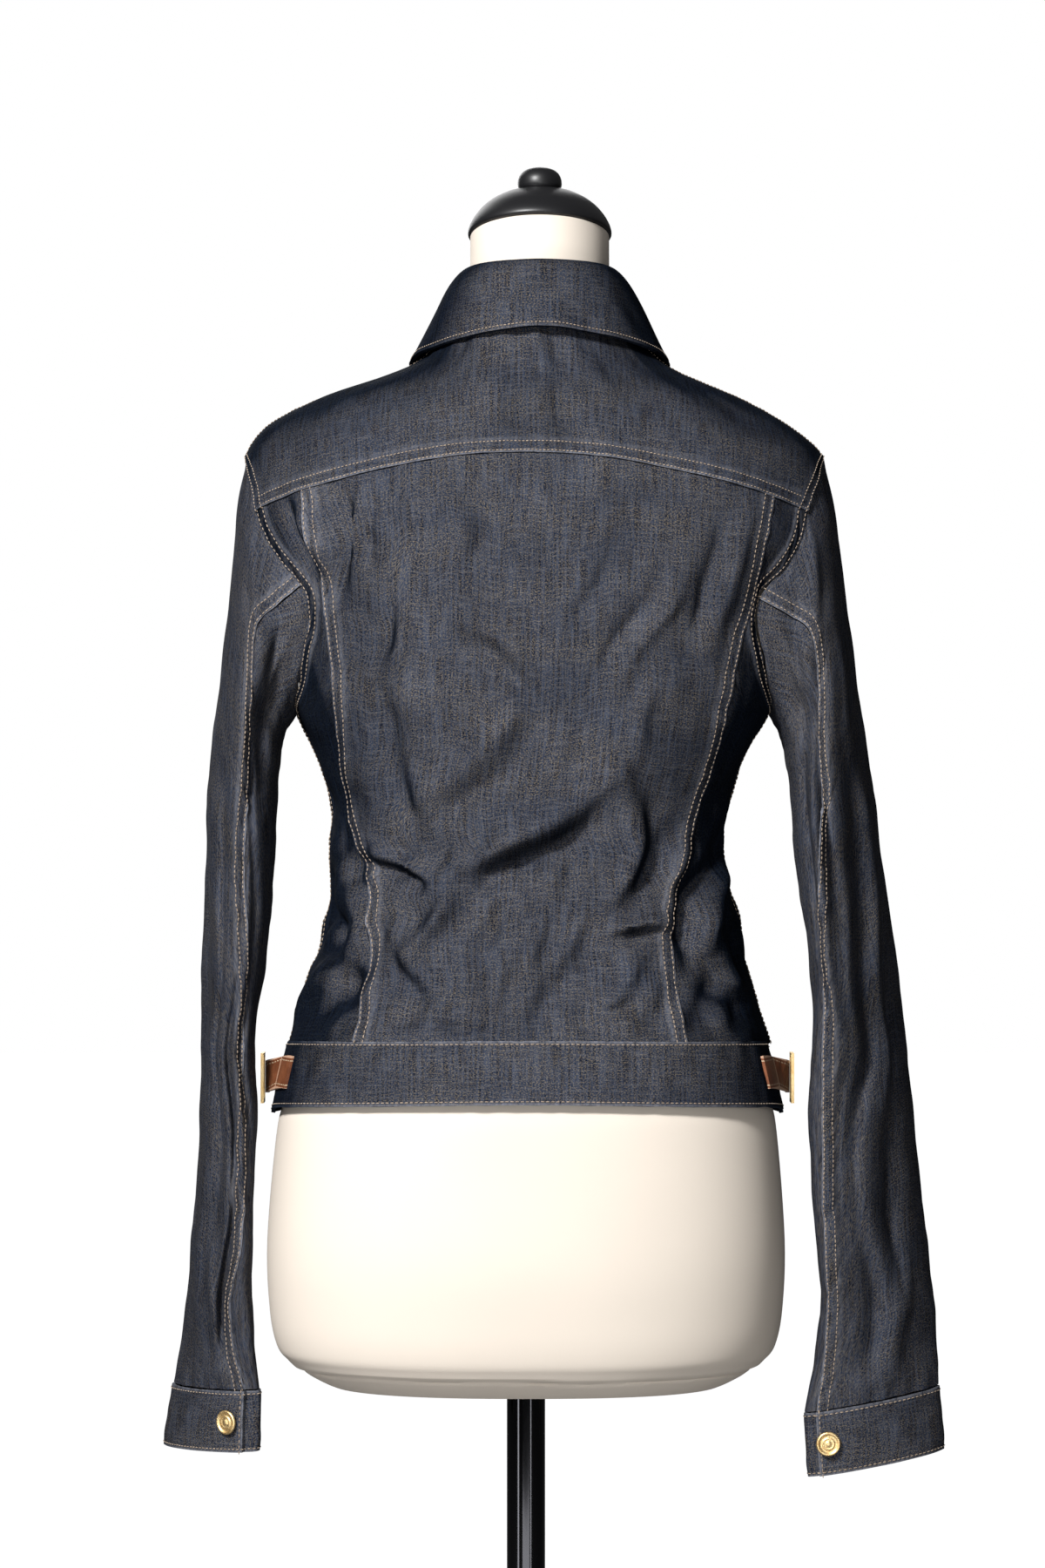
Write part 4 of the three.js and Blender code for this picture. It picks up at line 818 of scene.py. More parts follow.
for side, sign in SIDES.items():
    rows = np.linspace(0, LAST_ROW, 190)[:, None]
    share = np.linspace(0, 1, 76)[None, :]
    side_z, offset = side_edge(rows)
    climb = (side_z - band_top(np.pi / 2)) / (SHOULDER_NECK_Z - band_top(np.pi / 2))
    middle_z = mix(band_top(np.pi), FRONT_NECK_Z, climb)
    angle = sign * mix(np.pi / 2 + offset + SEAM_ANGLE, np.pi + PLACKET_ANGLE, share)
    z = mix(side_z, middle_z, share ** 1.5)
    front = Cloth(body_point(angle, z), flip=side == "right")
    front.raise_by(lap_rise(side, angle))
    front.lap("end", 41, height=0.3, width=FACING_WIDTH, pucker=0.2)
    twin_rows("body", front, "end", 2, FACING_WIDTH - 2)
    sew(f"front_{side}", front, uv_shift=(500 * sign, 0))

# Waistband.
# A doubled strip in three lengths, joined at the side seams, with one row of stitches inside each edge.
# The front ends lap like the fronts and close with a button.
BAND_WALL = 2.6
BAND_RISE = 0.8


BAND_ROWS = 19
BAND_RADIUS = 150
EDGE_STITCH = 2.2


def finish_edges(kind, cloth, edges):
    """Rubs the folded edges of a doubled strip paler and stitches inside each."""
    for edge in edges:
        cloth.wear = np.maximum(cloth.wear, 0.9 * (1 - smooth(0.2, 2.4, cloth.from_edge[edge])))
        STITCH_ROWS[kind].append(cloth.row(edge, EDGE_STITCH))


def band_cloth(start, end, columns, side=None):
    up = np.linspace(0, 1, BAND_ROWS)[:, None]
    angle = mix(start, end, np.linspace(0, 1, columns)[None, :]) + np.zeros(up.shape)
    low, high = band_bottom(angle), band_top(angle) - SEAM_GAP / 2
    cloth = Cloth(body_plain(angle, mix(low, high, up)), flip=side == "right")
    puff = 0.5 * np.sin(np.pi * up) + ripple(angle * BAND_RADIUS, up * 40, 51, 19, 0.3)
    cloth.raise_by(BAND_RISE + lap_rise(side, angle) * 1.4 + puff)
    finish_edges("body", cloth, ("bottom", "top"))
    return cloth


back_band = band_cloth(SEAM_ANGLE - np.pi / 2, np.pi / 2 - SEAM_ANGLE, 160)
sew("waistband_back", back_band, BAND_WALL, uv_shift=(0, 700))
for side, sign in SIDES.items():
    front_band = band_cloth(sign * (np.pi / 2 + SEAM_ANGLE), sign * (np.pi + PLACKET_ANGLE), 80, side)
    sew(f"waistband_front_{side}", front_band, BAND_WALL, uv_shift=(200 * sign, 800))

# Sleeves.
# Each sleeve is cut in two lengths: a wide upper one round the outside of the arm and a narrow under one.
# It starts on the armhole and swings down round the underarm. The felled back seam runs down to the cuff.
SLEEVE_COLUMNS = "t outX outZ inX inZ y depth skew cap seam"
SLEEVES = {
    "left": table(SLEEVE_COLUMNS,
        (0, 182, 1300, 152, 1134, 0, 50, 0, 1, 85), (1, 188, 1272, 155, 1127, 0, 54, -1, 0.62, 83),
        (2, 191, 1236, 158, 1119, 0, 57, -2, 0.3, 77), (3, 195, 1196, 160, 1108, 1, 59, -3, 0.1, 84),
        (4, 200, 1158, 161, 1093, 2, 60, -5, 0, 93), (5, 205, 1120, 162, 1074, 3, 60, -8, 0, 98),
        (6, 209, 1080, 163.5, 1050, 3, 59, -12, 0, 103), (7, 211, 1040, 164.5, 1022, 3, 57, -16, 0, 105),
        (8, 212, 1000, 167, 990, 2, 55, -19, 0, 114), (9, 213, 960, 172, 955, 1, 53, -21, 0, 124),
        (10, 214, 922, 176, 920, -1, 51, -23, 0, 133), (11, 215, 888, 176, 888, -3, 48, -25, 0, 134),
        (12, 217, 853, 175.5, 853, -6, 45, -27, 0, 132), (13, 219, 819, 177, 819, -9, 41, -29, 0, 136),
        (14, 222, 785, 178, 786, -12, 36, -31, 0, 130), (15, 225, 751, 178.5, 753, -15, 31, -33, 0, 112),
        (16, 230, 718, 177, 722, -18, 26, -34, 0, 118), (17, 235, 689, 173.5, 694, -20, 20, -34, 0, 128)),
    "right": table(SLEEVE_COLUMNS,
        (0, -194, 1300, -159, 1134, 0, 50, 0, 1, 90), (1, -201, 1270, -162, 1127, 0, 54, -2, 0.62, 86),
        (2, -206, 1234, -165, 1119, 0, 57, -5, 0.3, 80), (3, -211, 1196, -168, 1108, 1, 58, -9, 0.1, 85),
        (4, -217, 1158, -170, 1093, 2, 57, -14, 0, 98), (5, -223, 1120, -172, 1074, 3, 55, -20, 0, 104),
        (6, -229, 1080, -173.5, 1050, 3, 52, -26, 0, 110), (7, -235, 1040, -176, 1022, 3, 48, -30, 0, 118),
        (8, -241, 1000, -181, 990, 2, 44, -33, 0, 128), (9, -246, 960, -184.5, 955, 1, 41, -34, 0, 136),
        (10, -251, 922, -185, 920, 0, 38, -34, 0, 140), (11, -255, 888, -184, 888, -1, 35, -33, 0, 140),
        (12, -259, 853, -184, 851, -2, 32, -31, 0, 140), (13, -262, 819, -185.5, 815, -4, 28, -29, 0, 142),
        (14, -265, 785, -190, 779, -6, 25, -26, 0, 146), (15, -269, 752, -192, 744, -8, 22, -22, 0, 150),
        (16, -272, 721, -188, 709, -10, 19, -18, 0, 146), (17, -273, 691, -182, 677, -12, 16, -16, 0, 140)),
}
# Folds run down the sleeve from one row to another while they turn round it, in degrees
SLEEVE_FOLDS = {
    "left": table("t1 turn1 t2 turn2 width height",
        (0.3, 118, 6, 126, 20, -7), (1, 72, 16.5, 62, 15, 2.4), (2.5, 101, 15, 114, 9, -3.2),
        (5, 70, 13.5, 84, 5, -1.7), (12.5, 124, 16.6, 98, 11, -7.5), (13.5, 78, 17, 104, 9, 3.8),
        (0.2, 60, 3, 92, 8, 2.6), (0.4, 84, 2.6, 104, 6, -2.4), (6, 128, 14, 148, 11, -3.5),
        (4, 60, 9, 84, 14, -2.5), (10, 66, 15, 90, 12, -2.5), (3.5, 96, 7.5, 132, 7, -2),
        (6, 100, 10.5, 108, 8, 1.6), (9, 112, 13.5, 106, 7, -1.6), (11.5, 50, 15.5, 64, 9, 1.6),
        (2, 60, 5, 72, 9, -1.4), (13, 96, 16, 84, 7, -1.4), (5, 20, 10, 34, 12, -1.6),
        (7, 300, 13, 322, 13, -2.4), (5, 262, 10, 284, 12, -2.2), (11, 286, 15.5, 300, 11, -2),
        (3, 214, 7, 230, 10, -2)),
    "right": table("t1 turn1 t2 turn2 width height",
        (0.3, 118, 6, 126, 20, -7), (3.5, 122, 11, 128, 9, 2.6), (2.5, 104, 8, 112, 7, -3),
        (5, 50, 12, 66, 7, 2.0), (13, 110, 16.6, 96, 11, -3.6), (13.5, 60, 16.8, 84, 10, 2.4),
        (0.2, 58, 3, 90, 8, 2.4), (0.4, 80, 2.6, 102, 6, -2.4), (4.5, 62, 14, 110, 12, -4.5),
        (3, 118, 9, 128, 12, 3), (9, 40, 15, 70, 12, -2), (3.5, 134, 9.5, 142, 6, -2.4),
        (10, 118, 15.5, 124, 8, -1.8), (2, 52, 6, 60, 9, 1.6), (6, 88, 11, 104, 8, 1.8),
        (11, 84, 16, 92, 9, 1.6), (12, 60, 16, 74, 7, -1.6), (1, 74, 4.5, 96, 7, -1.8),
        (7, 300, 13, 322, 13, -2.4), (5, 262, 10, 284, 12, -2.2), (11, 286, 15.5, 300, 11, -2),
        (3, 214, 7, 230, 10, -2)),
}
SLEEVE_FOLD_DEPTH = 0.8 * FOLD_DEPTH
ROW_LENGTH = 38
ARM_RADIUS = 45
SLEEVE_RADIUS = 46
SEAM_LEAN = 6
FRONT_SEAM_TURN = 240
SLEEVE_END = 17


def ring_point(ring, turn):
    half = np.cos(turn) / 2
    return np.stack([
        (ring["outX"] + ring["inX"]) / 2 + (ring["outX"] - ring["inX"]) * half,
        ring["y"] + ring["skew"] * np.cos(turn) + ring["depth"] * np.sin(turn),
        (ring["outZ"] + ring["inZ"]) / 2 + (ring["outZ"] - ring["inZ"]) * half,
    ], -1)


def sleeve_point(side, t, turn):
    rows = SLEEVES[side]
    ring = {key: column(rows, key, "t", t) for key in rows}
    point = ring_point(ring, turn)
    z, offset = armhole_at(turn)
    edge = SIDES[side] * np.where(np.sin(turn) >= 0, np.pi / 2 - armhole_back(turn)[1], np.pi / 2 + offset)
    start = {key: rows[key][0] for key in rows}
    point = point + (body_plain(edge, z) - ring_point(start, turn)) * ring["cap"][..., None]
    height = np.zeros(turn.shape)
    along, around = t * ROW_LENGTH, turn * SLEEVE_RADIUS
    stray = ripple(along, turn * 25, 66, 120, 5)
    for t1, turn1, t2, turn2, width, fold_height in zip(*SLEEVE_FOLDS[side].values()):
        share = np.clip((t - t1) / (t2 - t1), 0, 1)
        away = (np.degrees(turn) + stray - mix(turn1, turn2, share) + 540) % 360 - 180
        height += SLEEVE_FOLD_DEPTH * fold_height * np.sin(np.pi * share) * np.exp(-((away / width) ** 2))
    height += (ripple(along, around, 61, 60, 1.1) + ripple(along, around, 62, 20, 0.16)) * smooth(0.3, 2, t)
    centre = ring_point({**ring, "skew": 0, "depth": 0}, np.full(turn.shape, np.pi / 2))
    out = point - centre
    return point + out * (height / np.linalg.norm(out, axis=-1))[..., None]


def sleeve_cloth(side, start, end, columns):
    """One length of a sleeve, from one seam to the other, given as how far each lies round the arm."""
    t = np.linspace(0, SLEEVE_END, 250)[:, None]
    turn = np.radians(mix(start(t), end(t), np.linspace(0, 1, columns)[None, :]))
    gap = SEAM_GAP / 2 / ARM_RADIUS
    turn = turn + np.linspace(gap, -gap, columns)[None, :]
    return Cloth(sleeve_point(side, t + np.zeros(turn.shape), turn), flip=side == "right")


def sleeve_seam(side, t):
    return column(SLEEVES[side], "seam", "t", t) + SEAM_LEAN


for side in SIDES:
    upper = sleeve_cloth(side, lambda t: FRONT_SEAM_TURN - 360, lambda t: sleeve_seam(side, t), 124)
    upper.lap("end", 71, height=0.8, pucker=0.4)
    twin_rows("sleeve", upper, "end")
    under = sleeve_cloth(side, lambda t: sleeve_seam(side, t), lambda t: FRONT_SEAM_TURN, 74)
    for name, cloth in (("upper", upper), ("under", under)):
        across, distance = cloth.across, cloth.from_edge["bottom"]
        gather = np.exp(-((cloth.from_edge["top"] / 16) ** 2)) * ripple(across, distance * 0.2, 72, 16, 0.5)
        head = np.exp(-((distance / 10) ** 2)) * ripple(across, distance * 0.3, 73, 15, 0.4)
        cloth.raise_by(gather + head)
        sew(f"sleeve_{name}_{side}", cloth, uv_shift=(900, 0))

# Cuffs.
# A doubled strip wound once round the wrist, whose outer lap rises over its start, stitched along all edges
# and closed by a button.
CUFF_COLUMNS = "outX outZ inX inZ y depth skew"
CUFFS = {
    "left": {"rings": table("share " + CUFF_COLUMNS, (0, 242, 647, 173, 653, -22, 18, -35),
                            (1, 235.6, 688, 172.5, 693, -20, 19, -34)), "lap_end": 134},
    "right": {"rings": table("share " + CUFF_COLUMNS, (0, -277, 648, -184, 634, -14, 14, -15),
                             (1, -273.5, 690, -181.5, 676, -12, 15, -15)), "lap_end": 146},
}
CUFF_FOLDS = {
    "left": table("turn slant width height",
        (70, 10, 10, -1.6), (52, 8, 8, 1.4), (30, -6, 9, -1)),
    "right": table("turn slant width height",
        (92, -12, 8, -2.4), (108, -8, 9, 1.8), (66, 8, 10, 1.6), (50, 6, 8, -1)),
}
CUFF_RADIUS = 34
CUFF_LAP = 40
CUFF_LAP_RISE = 3.4


def cuff_ring(side, up, turn):
    rings = CUFFS[side]["rings"]
    ring = {key: mix(rings[key][0], rings[key][1], up) for key in CUFF_COLUMNS.split()}
    return ring_point(ring, turn)


def cuff_way(side, up, turn):
    across = cuff_ring(side, up, turn + 0.05) - cuff_ring(side, up, turn - 0.05)
    way = np.stack([across[..., 1], -across[..., 0], np.zeros(turn.shape)], -1) * SIDES[side]
    return way / np.linalg.norm(way, axis=-1, keepdims=True)


for side in SIDES:
    lap_end = CUFFS[side]["lap_end"]
    share = np.linspace(0, 1, 150)[None, :]
    up = np.linspace(0, 1, BAND_ROWS)[:, None]
    turn = np.radians(mix(lap_end - CUFF_LAP, lap_end + 360, share)) + np.zeros(up.shape)
    puff = 0.5 * np.sin(np.pi * up) + ripple(turn * CUFF_RADIUS, up * 42, 81, 17, 0.3)
    for middle_turn, slant, width, height in zip(*CUFF_FOLDS[side].values()):
        away = np.degrees(turn) - middle_turn - slant * (up - 0.5) * 2
        puff = puff + height * np.exp(-((away / width) ** 2))
    rise = BAND_WALL / 2 + CUFF_LAP_RISE * (smooth(0.62, 0.88, share) - 0.5)
    points = cuff_ring(side, up, turn) + cuff_way(side, up, turn) * (rise + puff)[..., None]
    cuff = Cloth(points, flip=side == "left")
    finish_edges("cuff", cuff, ("bottom", "top", "end"))
    sew(f"cuff_{side}", cuff, BAND_WALL, uv_shift=(1200, 0))

# Collar.
# Two layers of denim folded over: a stand from the neckline up to the fold line, and a leaf from there
# down to the outer edge, which is stitched once.
COLLAR_CENTRE_X = -9
COLLAR = table("angle foldR foldZ edgeR edgeZ seamR seamZ",
    (0, 56, 1424, 66.5, 1380, 54.5, 1397.3), (45, 56, 1422, 75.5, 1371, 55.5, 1397.3),
    (90, 54.5, 1414, 85, 1362, 55.5, 1397.3), (125, 55, 1400, 88, 1354, 54, 1391),
    (150, 58, 1388, 81, 1332, 53, 1383), (172, 60, 1378, 82, 1314, 52, 1370))
COLLAR_SPAN = 170
COLLAR_FOLD_SHARE = 0.36
COLLAR_WALL = 2.4
FOLD_THICKNESS = 3


def collar_point(angle, share):
    """A point of the collar. Its table is even on both sides, so the way round is eased at the middle."""
    around_neck = (np.hypot(angle, 15) - 15) * COLLAR_SPAN / (np.hypot(COLLAR_SPAN, 15) - 15)
    row = {key: column(COLLAR, key, "angle", around_neck) for key in COLLAR}
    stand = share < COLLAR_FOLD_SHARE
    up = np.clip(share / COLLAR_FOLD_SHARE, 0, 1)
    down = np.clip((share - COLLAR_FOLD_SHARE) / (1 - COLLAR_FOLD_SHARE), 0, 1)
    fold_r = row["foldR"] - FOLD_THICKNESS
    stand_r = mix(row["seamR"], fold_r, up) - np.sin(np.pi * up)
    leaf_r = mix(fold_r, row["edgeR"], down) + 2.2 * np.sin(np.pi * down ** 0.45) ** 2
    radius = np.where(stand, stand_r, leaf_r)
    stand_z = mix(row["seamZ"], row["foldZ"], up ** 0.9)
    z = np.where(stand, stand_z, mix(row["foldZ"], row["edgeZ"], down ** 1.12))
    turn = np.radians(angle)
    return np.stack([COLLAR_CENTRE_X + radius * np.sin(turn), radius * np.cos(turn), z], -1)


share = np.linspace(0, 1, 60)[:, None]
angle = np.linspace(-COLLAR_SPAN, COLLAR_SPAN, 200)[None, :] + np.zeros((60, 1))
collar = Cloth(collar_point(angle, share + np.zeros(angle.shape)), flip=True)
collar.raise_by(COLLAR_WALL / 2 + ripple(angle * 1.3, share * 80, 91, 34, 0.5) * smooth(0.4, 0.9, share))
collar.wear = 0.3 * (1 - smooth(0.2, 2.2, collar.from_edge["top"]))
collar.wear = np.maximum(collar.wear, 0.35 * np.exp(-(((share - COLLAR_FOLD_SHARE) / 0.03) ** 2)))
STITCH_ROWS["fine"].append(collar.row("top", 2.6))
sew("collar", collar, COLLAR_WALL, uv_shift=(0, 1200))

# Stitches.
# Tan topstitching thread, sunk a little into the cloth: single and twin rows along the seams and edges.
# Every row is a path of points, along which one short rounded stitch is repeated.
STITCH = {"body": (3.2, 2.5), "fine": (2.5, 1.9), "sleeve": (3.1, 2.4), "cuff": (3.4, 2.7)}
THREAD_WIDTH = 0.75
THREAD_HEIGHT = 0.6


def stitch_tree():
    tree = bpy.data.node_groups.new("row of stitches", "GeometryNodeTree")
    tree.interface.new_socket(name="Path", in_out="INPUT", socket_type="NodeSocketGeometry")
    for name in ("Pitch", "Length", "Width", "Height"):
        tree.interface.new_socket(name=name, in_out="INPUT", socket_type="NodeSocketFloat")
    tree.interface.new_socket(name="Thread", in_out="INPUT", socket_type="NodeSocketMaterial")
    tree.interface.new_socket(name="Stitches", in_out="OUTPUT", socket_type="NodeSocketGeometry")
    given = tree.nodes.new("NodeGroupInput").outputs

    def step(kind, links=None, **settings):
        return node(tree, kind, links, **settings).outputs[0]

    path = step("GeometryNodeMeshToCurve", {"Mesh": given["Path"]})
    spaced = step("GeometryNodeResampleCurve", {"Curve": path, "Length": given["Pitch"]}, mode="LENGTH")
    way = step("GeometryNodeInputNamedAttribute", {"Name": "way"}, data_type="FLOAT_VECTOR")
    turn = step("FunctionNodeAxesToRotation",
                {"Primary Axis": way, "Secondary Axis": step("GeometryNodeInputTangent")},
                primary_axis="Z", secondary_axis="X")
    bead = step("GeometryNodeMeshUVSphere", {"Segments": 6, "Rings": 4, "Radius": 0.5})
    size = step("ShaderNodeCombineXYZ", {"X": given["Length"], "Y": given["Width"], "Z": given["Height"]})
    placed = step("GeometryNodeInstanceOnPoints",
                  {"Points": spaced, "Instance": bead, "Rotation": turn, "Scale": size})
    real = step("GeometryNodeRealizeInstances", {"Geometry": placed})
    rounded = step("GeometryNodeSetShadeSmooth", {"Geometry": real})
    finished = step("GeometryNodeSetMaterial", {"Geometry": rounded, "Material": given["Thread"]})
    tree.links.new(finished, tree.nodes.new("NodeGroupOutput").inputs["Stitches"])
    return tree


STITCH_TREE = stitch_tree()
thread, tree, shader = new_material("tan thread", Roughness=0.6)
shader.inputs["Sheen Weight"].default_value = 0.3
twist = ramp(tree, object_noise(tree, 500, 2), (0.35, (0.20, 0.14, 0.09)), (0.65, (0.38, 0.29, 0.21)))
tree.links.new(twist, shader.inputs["Base Color"])


def bake_nodes(made, name):
    """Turns a modifier's result into the plain mesh of a new object."""
    graph = bpy.context.evaluated_depsgraph_get()
    mesh = bpy.data.meshes.new_from_object(made.evaluated_get(graph))
    bpy.data.objects.remove(made)
    mesh.name = name
    result = bpy.data.objects.new(name, mesh)
    bpy.context.collection.objects.link(result)
    return result


for kind, paths in STITCH_ROWS.items():
    points = np.array([point for path in paths for point, _ in path]) * METRE
    ways = np.array([way for path in paths for _, way in path])
    edges, start = [], 0
    for path in paths:
        edges += [(start + at, start + at + 1) for at in range(len(path) - 1)]
        start += len(path)
    mesh = bpy.data.meshes.new(f"stitch_path_{kind}")
    mesh.from_pydata(points.tolist(), edges, [])
    mesh.attributes.new("way", "FLOAT_VECTOR", "POINT").data.foreach_set("vector", ways.ravel())
    rows_object = bpy.data.objects.new(f"stitch_path_{kind}", mesh)
    bpy.context.collection.objects.link(rows_object)
    modifier = rows_object.modifiers.new("stitches", "NODES")
    modifier.node_group = STITCH_TREE
    pitch, length = STITCH[kind]
    values = {"Pitch": pitch * METRE, "Length": length * METRE, "Width": THREAD_WIDTH * METRE,
              "Height": THREAD_HEIGHT * METRE, "Thread": thread}
    for item in STITCH_TREE.interface.items_tree:
        if item.in_out == "INPUT" and item.name in values:
            modifier[item.identifier] = values[item.name]
    stitches = bake_nodes(rows_object, f"stitches_{kind}")
    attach(stitches, "root")

# Buttons.
# Cast brass tack buttons with a raised rim, a sunk ring and a small dome, on both cuffs and down the right
# front. Each sits on a short shank driven through the cloth.
BUTTON = (
    (0, 0), (4, 0), (4, 1), (6.6, 1.1), (7.6, 1.5), (8, 2.2), (7.9, 2.9), (7.4, 3.4), (6.8, 3.5),
    (6.3, 3.2), (5.9, 2.75), (4.6, 2.6), (4.2, 2.75), (3.9, 3.1), (3.4, 3.2), (3.0, 2.95), (2.5, 2.9),
    (1.6, 3.5), (0, 3.8)
)


def seat_of(name, outward):
    """Middle of a button's underside and its axis, read from its frame node."""
    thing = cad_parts[name]
    points = np.array([thing.matrix_world @ vertex.co for vertex in thing.data.vertices]) / METRE
    middle = points.mean(0)
    _, ways = np.linalg.eigh(np.cov((points - middle).T))
    axis = ways[:, 0] * np.sign(ways[:, 0] @ np.array(outward))
    return middle + axis * ((points - middle) @ axis).min(), axis


brass, tree, shader = new_material("warm brass", Metallic=1)
worn = object_noise(tree, 160, 4, 0.6)
golden = ramp(tree, worn, (0.3, (0.78, 0.52, 0.22)), (0.7, (0.95, 0.74, 0.40)))
tree.links.new(golden, shader.inputs["Base Color"])
tree.links.new(ramp(tree, object_noise(tree, 420, 3), (0.3, 0.38), (0.7, 0.55)), shader.inputs["Roughness"])
bump(tree, shader, object_noise(tree, 700, 3), 0.00004, 0.4)
for name in sorted(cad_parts):
    if "button" in name:
        seat, axis = seat_of(name, (0, 1, 0) if "cuff" in name else (0, -1, 0))
        lathe(name, BUTTON, brass, seat, axis, 40)

# Side straps and buckles.
# A brown leather strap with painted edges and a row of thread along each is sewn on the back waistband at
# each side, and stands off to reach an upright brass frame. Both keep the shapes of their frame nodes.
HIDE_DARK = (0.10, 0.030, 0.012)
HIDE_PALE = (0.20, 0.068, 0.028)
THREAD_TAN = (0.48, 0.36, 0.24, 1)
EDGE_PAINT = (0.50, 0.30, 0.20, 1)
STRAP_TURN = np.radians((80, 88))
STRAP_Z = (0.901, 0.895)
STRAP_FOLD = np.radians((79.6, 80.5))
STRAP_THREAD = (0.0074, 0.0081)
STRAP_EDGE = 0.0095
STITCH_TURNS = 340.0
STITCH_SHOWS_ABOVE = -0.35
leather, tree, shader = new_material("brown leather", Roughness=0.45)


def between(value, low, high):
    above = maths(tree, "GREATER_THAN", value, low)
    return maths(tree, "MULTIPLY", above, maths(tree, "LESS_THAN", value, high))


place = node(tree, "ShaderNodeSeparateXYZ", {0: node(tree, "ShaderNodeTexCoord").outputs["Object"]}).outputs
turn = maths(tree, "ARCTAN2", maths(tree, "ABSOLUTE", place[0]), place[1])
strap_middle = node(tree, "ShaderNodeMapRange", {
    "Value": turn, "From Min": STRAP_TURN[0], "From Max": STRAP_TURN[1],
    "To Min": STRAP_Z[0], "To Max": STRAP_Z[1],
}).outputs[0]
off_middle = maths(tree, "ABSOLUTE", maths(tree, "SUBTRACT", place[2], strap_middle))
wave = maths(tree, "SINE", maths(tree, "MULTIPLY", turn, STITCH_TURNS))
stitched = maths(tree, "GREATER_THAN", wave, STITCH_SHOWS_ABOVE)
thread_line = maths(tree, "MULTIPLY", between(off_middle, *STRAP_THREAD), stitched)
fold_line = between(turn, *STRAP_FOLD)
edge_line = maths(tree, "MAXIMUM", maths(tree, "GREATER_THAN", off_middle, STRAP_EDGE), fold_line)
hide = ramp(tree, object_noise(tree, 90, 5, 0.6), (0.3, HIDE_DARK), (0.7, HIDE_PALE))
sewn = blend(tree, thread_line, hide, THREAD_TAN)
tree.links.new(blend(tree, edge_line, sewn, EDGE_PAINT), shader.inputs["Base Color"])
bump(tree, shader, object_noise(tree, 900, 4, 0.7), 0.0001, 0.6)
for name, material in (("side_tab", leather), ("buckle", brass)):
    for side in SIDES:
        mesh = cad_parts[f"{name}_{side}"].data
        mesh.materials.clear()
        mesh.materials.append(material)

# Dress form.
# A padded form without limbs, covered in cream jersey that is pulled down over a turned-in bottom panel, so
# that a seam runs round just above its lower edge. Inside the jacket it stays well clear of the cloth.
FORM_LOW = table("z left right back front",
    (696, 130, 130, 85, 79), (702, 143, 143, 94, 87), (711, 154, 154, 102, 95), (720, 162, 162, 108, 101),
    (740, 167, 167, 112.5, 105), (790, 169, 169, 117, 109),
    (835, 167, 167, 116, 108), (862, 162.5, 163.5, 112, 107))
FORM_INSET = table("z inset",
    (880, 6.5), (920, 8), (1000, 13), (1060, 14), (1135, 14), (1200, 16), (1250, 15), (1290, 10),
    (1320, 7), (1345, 6), (1358, 5.6))
FORM_SEAM_Z = 709
FORM_RINGS = (
    696, 699, 705, 713, 722, 745, 790, 860, 884, 930, 980, 1030, 1080, 1125, 1165, 1205, 1240, 1270,
    1292, 1308, 1324, 1336, 1347, 1358, 1384, 1400, 1425, 1446,
)
FORM_WAIST_Z = 870
FORM_NECK_Z = 1370
NECK_X = -9
NECK_HALF_WIDTH = 45.5
NECK_HALF_DEPTH = 47
NECK_BASE_Z = 1400
NECK_LEAN = 0.12
NECK_TILT = 0.2


def form_ring(z, angle):
    """A level ring of the form: its hips, then the body drawn in under the cloth, then the neck."""
    if z < FORM_WAIST_Z:
        x, y = oval(angle, *(column(FORM_LOW, key, "z", z) for key in ("left", "right", "back", "front")))
        return np.stack([x, y, np.full(angle.shape, float(z))], -1)
    if z < FORM_NECK_Z:
        point = body_plain(angle, np.full(angle.shape, float(z)))
        inset = column(FORM_INSET, "inset", "z", z)
        return point * (1 - inset / np.hypot(point[:, 0], point[:, 1])[:, None] * np.array([1, 1, 0]))
    y = (NECK_BASE_Z - z) * NECK_LEAN + NECK_HALF_DEPTH * np.cos(angle)
    tilt = NECK_TILT * y * smooth(1395, 1440, z)
    return np.stack([NECK_X + NECK_HALF_WIDTH * np.sin(angle), y, z + tilt], -1)


def through(rings, steps):
    """Rings on a smooth curve through the given ones."""
    rings = np.array(rings)
    last = len(rings) - 1
    made = []
    for at in np.linspace(0, last, last * steps + 1):
        row = min(int(at), last - 1)
        share = at - row
        p0, p1, p2, p3 = (rings[np.clip(row + k, 0, last)] for k in (-1, 0, 1, 2))
        made.append(0.5 * (2 * p1 + (p2 - p0) * share + (2 * p0 - 5 * p1 + 4 * p2 - p3) * share ** 2
                           + (3 * p1 - p0 - 3 * p2 + p3) * share ** 3))
    return np.array(made)


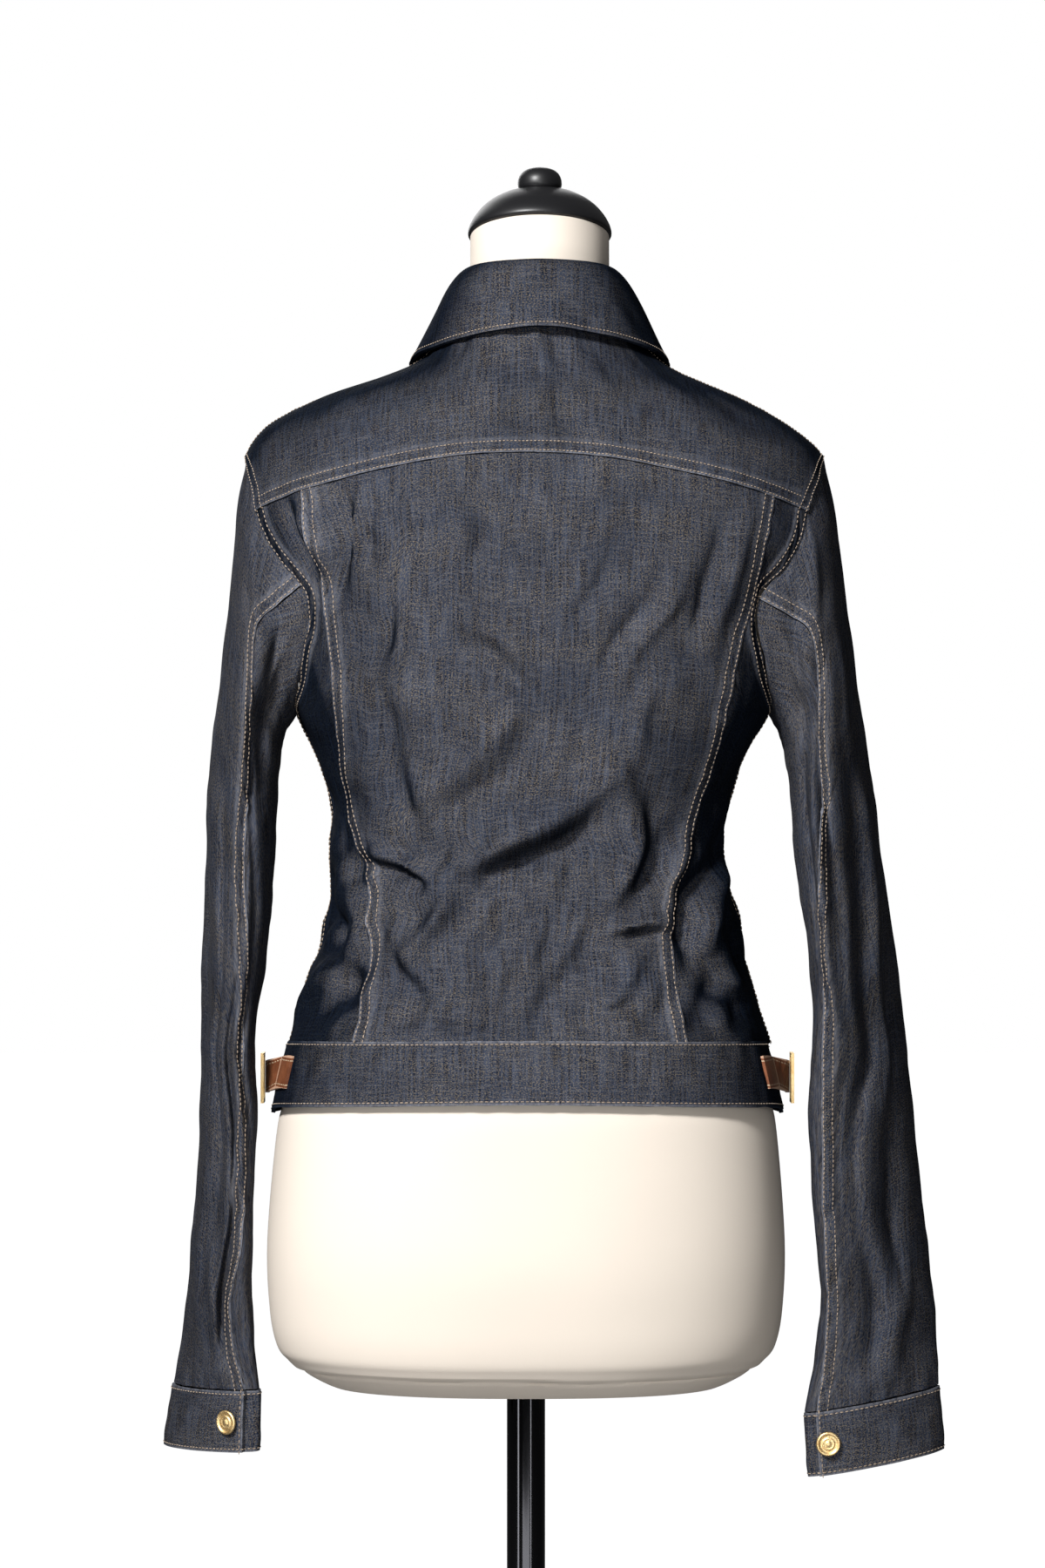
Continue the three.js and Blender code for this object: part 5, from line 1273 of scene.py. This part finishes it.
jersey, tree, shader = new_material("cream jersey", Roughness=0.85)
cream = ramp(tree, object_noise(tree, 6, 3), (0.3, (0.64, 0.57, 0.495)), (0.7, (0.67, 0.60, 0.52)))
tree.links.new(cream, shader.inputs["Base Color"])
bump(tree, shader, object_noise(tree, 900, 2, stretch=(1, 1, 0.4)), 0.00006, 0.4)
around = np.linspace(0, 2 * np.pi, 128, endpoint=False)
rings = through([form_ring(z, around) for z in FORM_RINGS], 6)
hem_wave = 0.6 * np.sin(3 * around) + 0.4 * np.sin(7 * around + 1)
below = FORM_SEAM_Z + hem_wave - rings[..., 2]
tuck = 2.4 * smooth(-0.6, 0.9, below) + 1.8 * np.exp(-(((below - 1.3) / 0.9) ** 2))
rings[..., :2] *= (1 - tuck / np.hypot(rings[..., 0], rings[..., 1]))[..., None]
round_body("dress_form", rings, jersey)

# Neck cap and knob.
# A low black dome closes the neck, and a turned black knob is screwed on its top.
CAP_TOP = 31
CAP = table("rise share",
    (0.4, 0.99), (2, 1.035), (6, 1.02), (11, 0.965), (16, 0.885), (20, 0.8), (24, 0.685), (27, 0.565),
    (29.4, 0.44), (CAP_TOP, 0.3))
CAP_BASE_Z = FORM_RINGS[-1]
black_cap, tree, shader = new_material("black satin", Base_Color=(0.006, 0.006, 0.007, 1), Roughness=0.42)
bump(tree, shader, object_noise(tree, 1500, 2), 0.00003, 0.4)
neck_y = (NECK_BASE_Z - CAP_BASE_Z) * NECK_LEAN
edge = form_ring(CAP_BASE_Z, around)
middle = np.array([NECK_X, neck_y, CAP_BASE_Z])
rings = []
for rise, share in zip(CAP["rise"], CAP["share"]):
    ring = middle + (edge - middle) * share
    ring[:, 2] = CAP_BASE_Z + (edge[:, 2] - CAP_BASE_Z) * share * (1 - rise / CAP_TOP) + rise
    rings.append(ring)
round_body("neck_cap", through(rings, 4), black_cap)
KNOB = (
    (0, 0), (13.6, 0), (14.2, 0.9), (14.5, 2.5), (14.3, 5.4), (13.6, 7.6), (12.4, 9.6), (10.6, 11.3),
    (8.2, 12.6), (5.2, 13.4), (2.6, 13.6), (0, 13.6),
)
lathe("neck_knob", KNOB, black_cap, middle + (0, 0, CAP_TOP + SEAM_GAP))
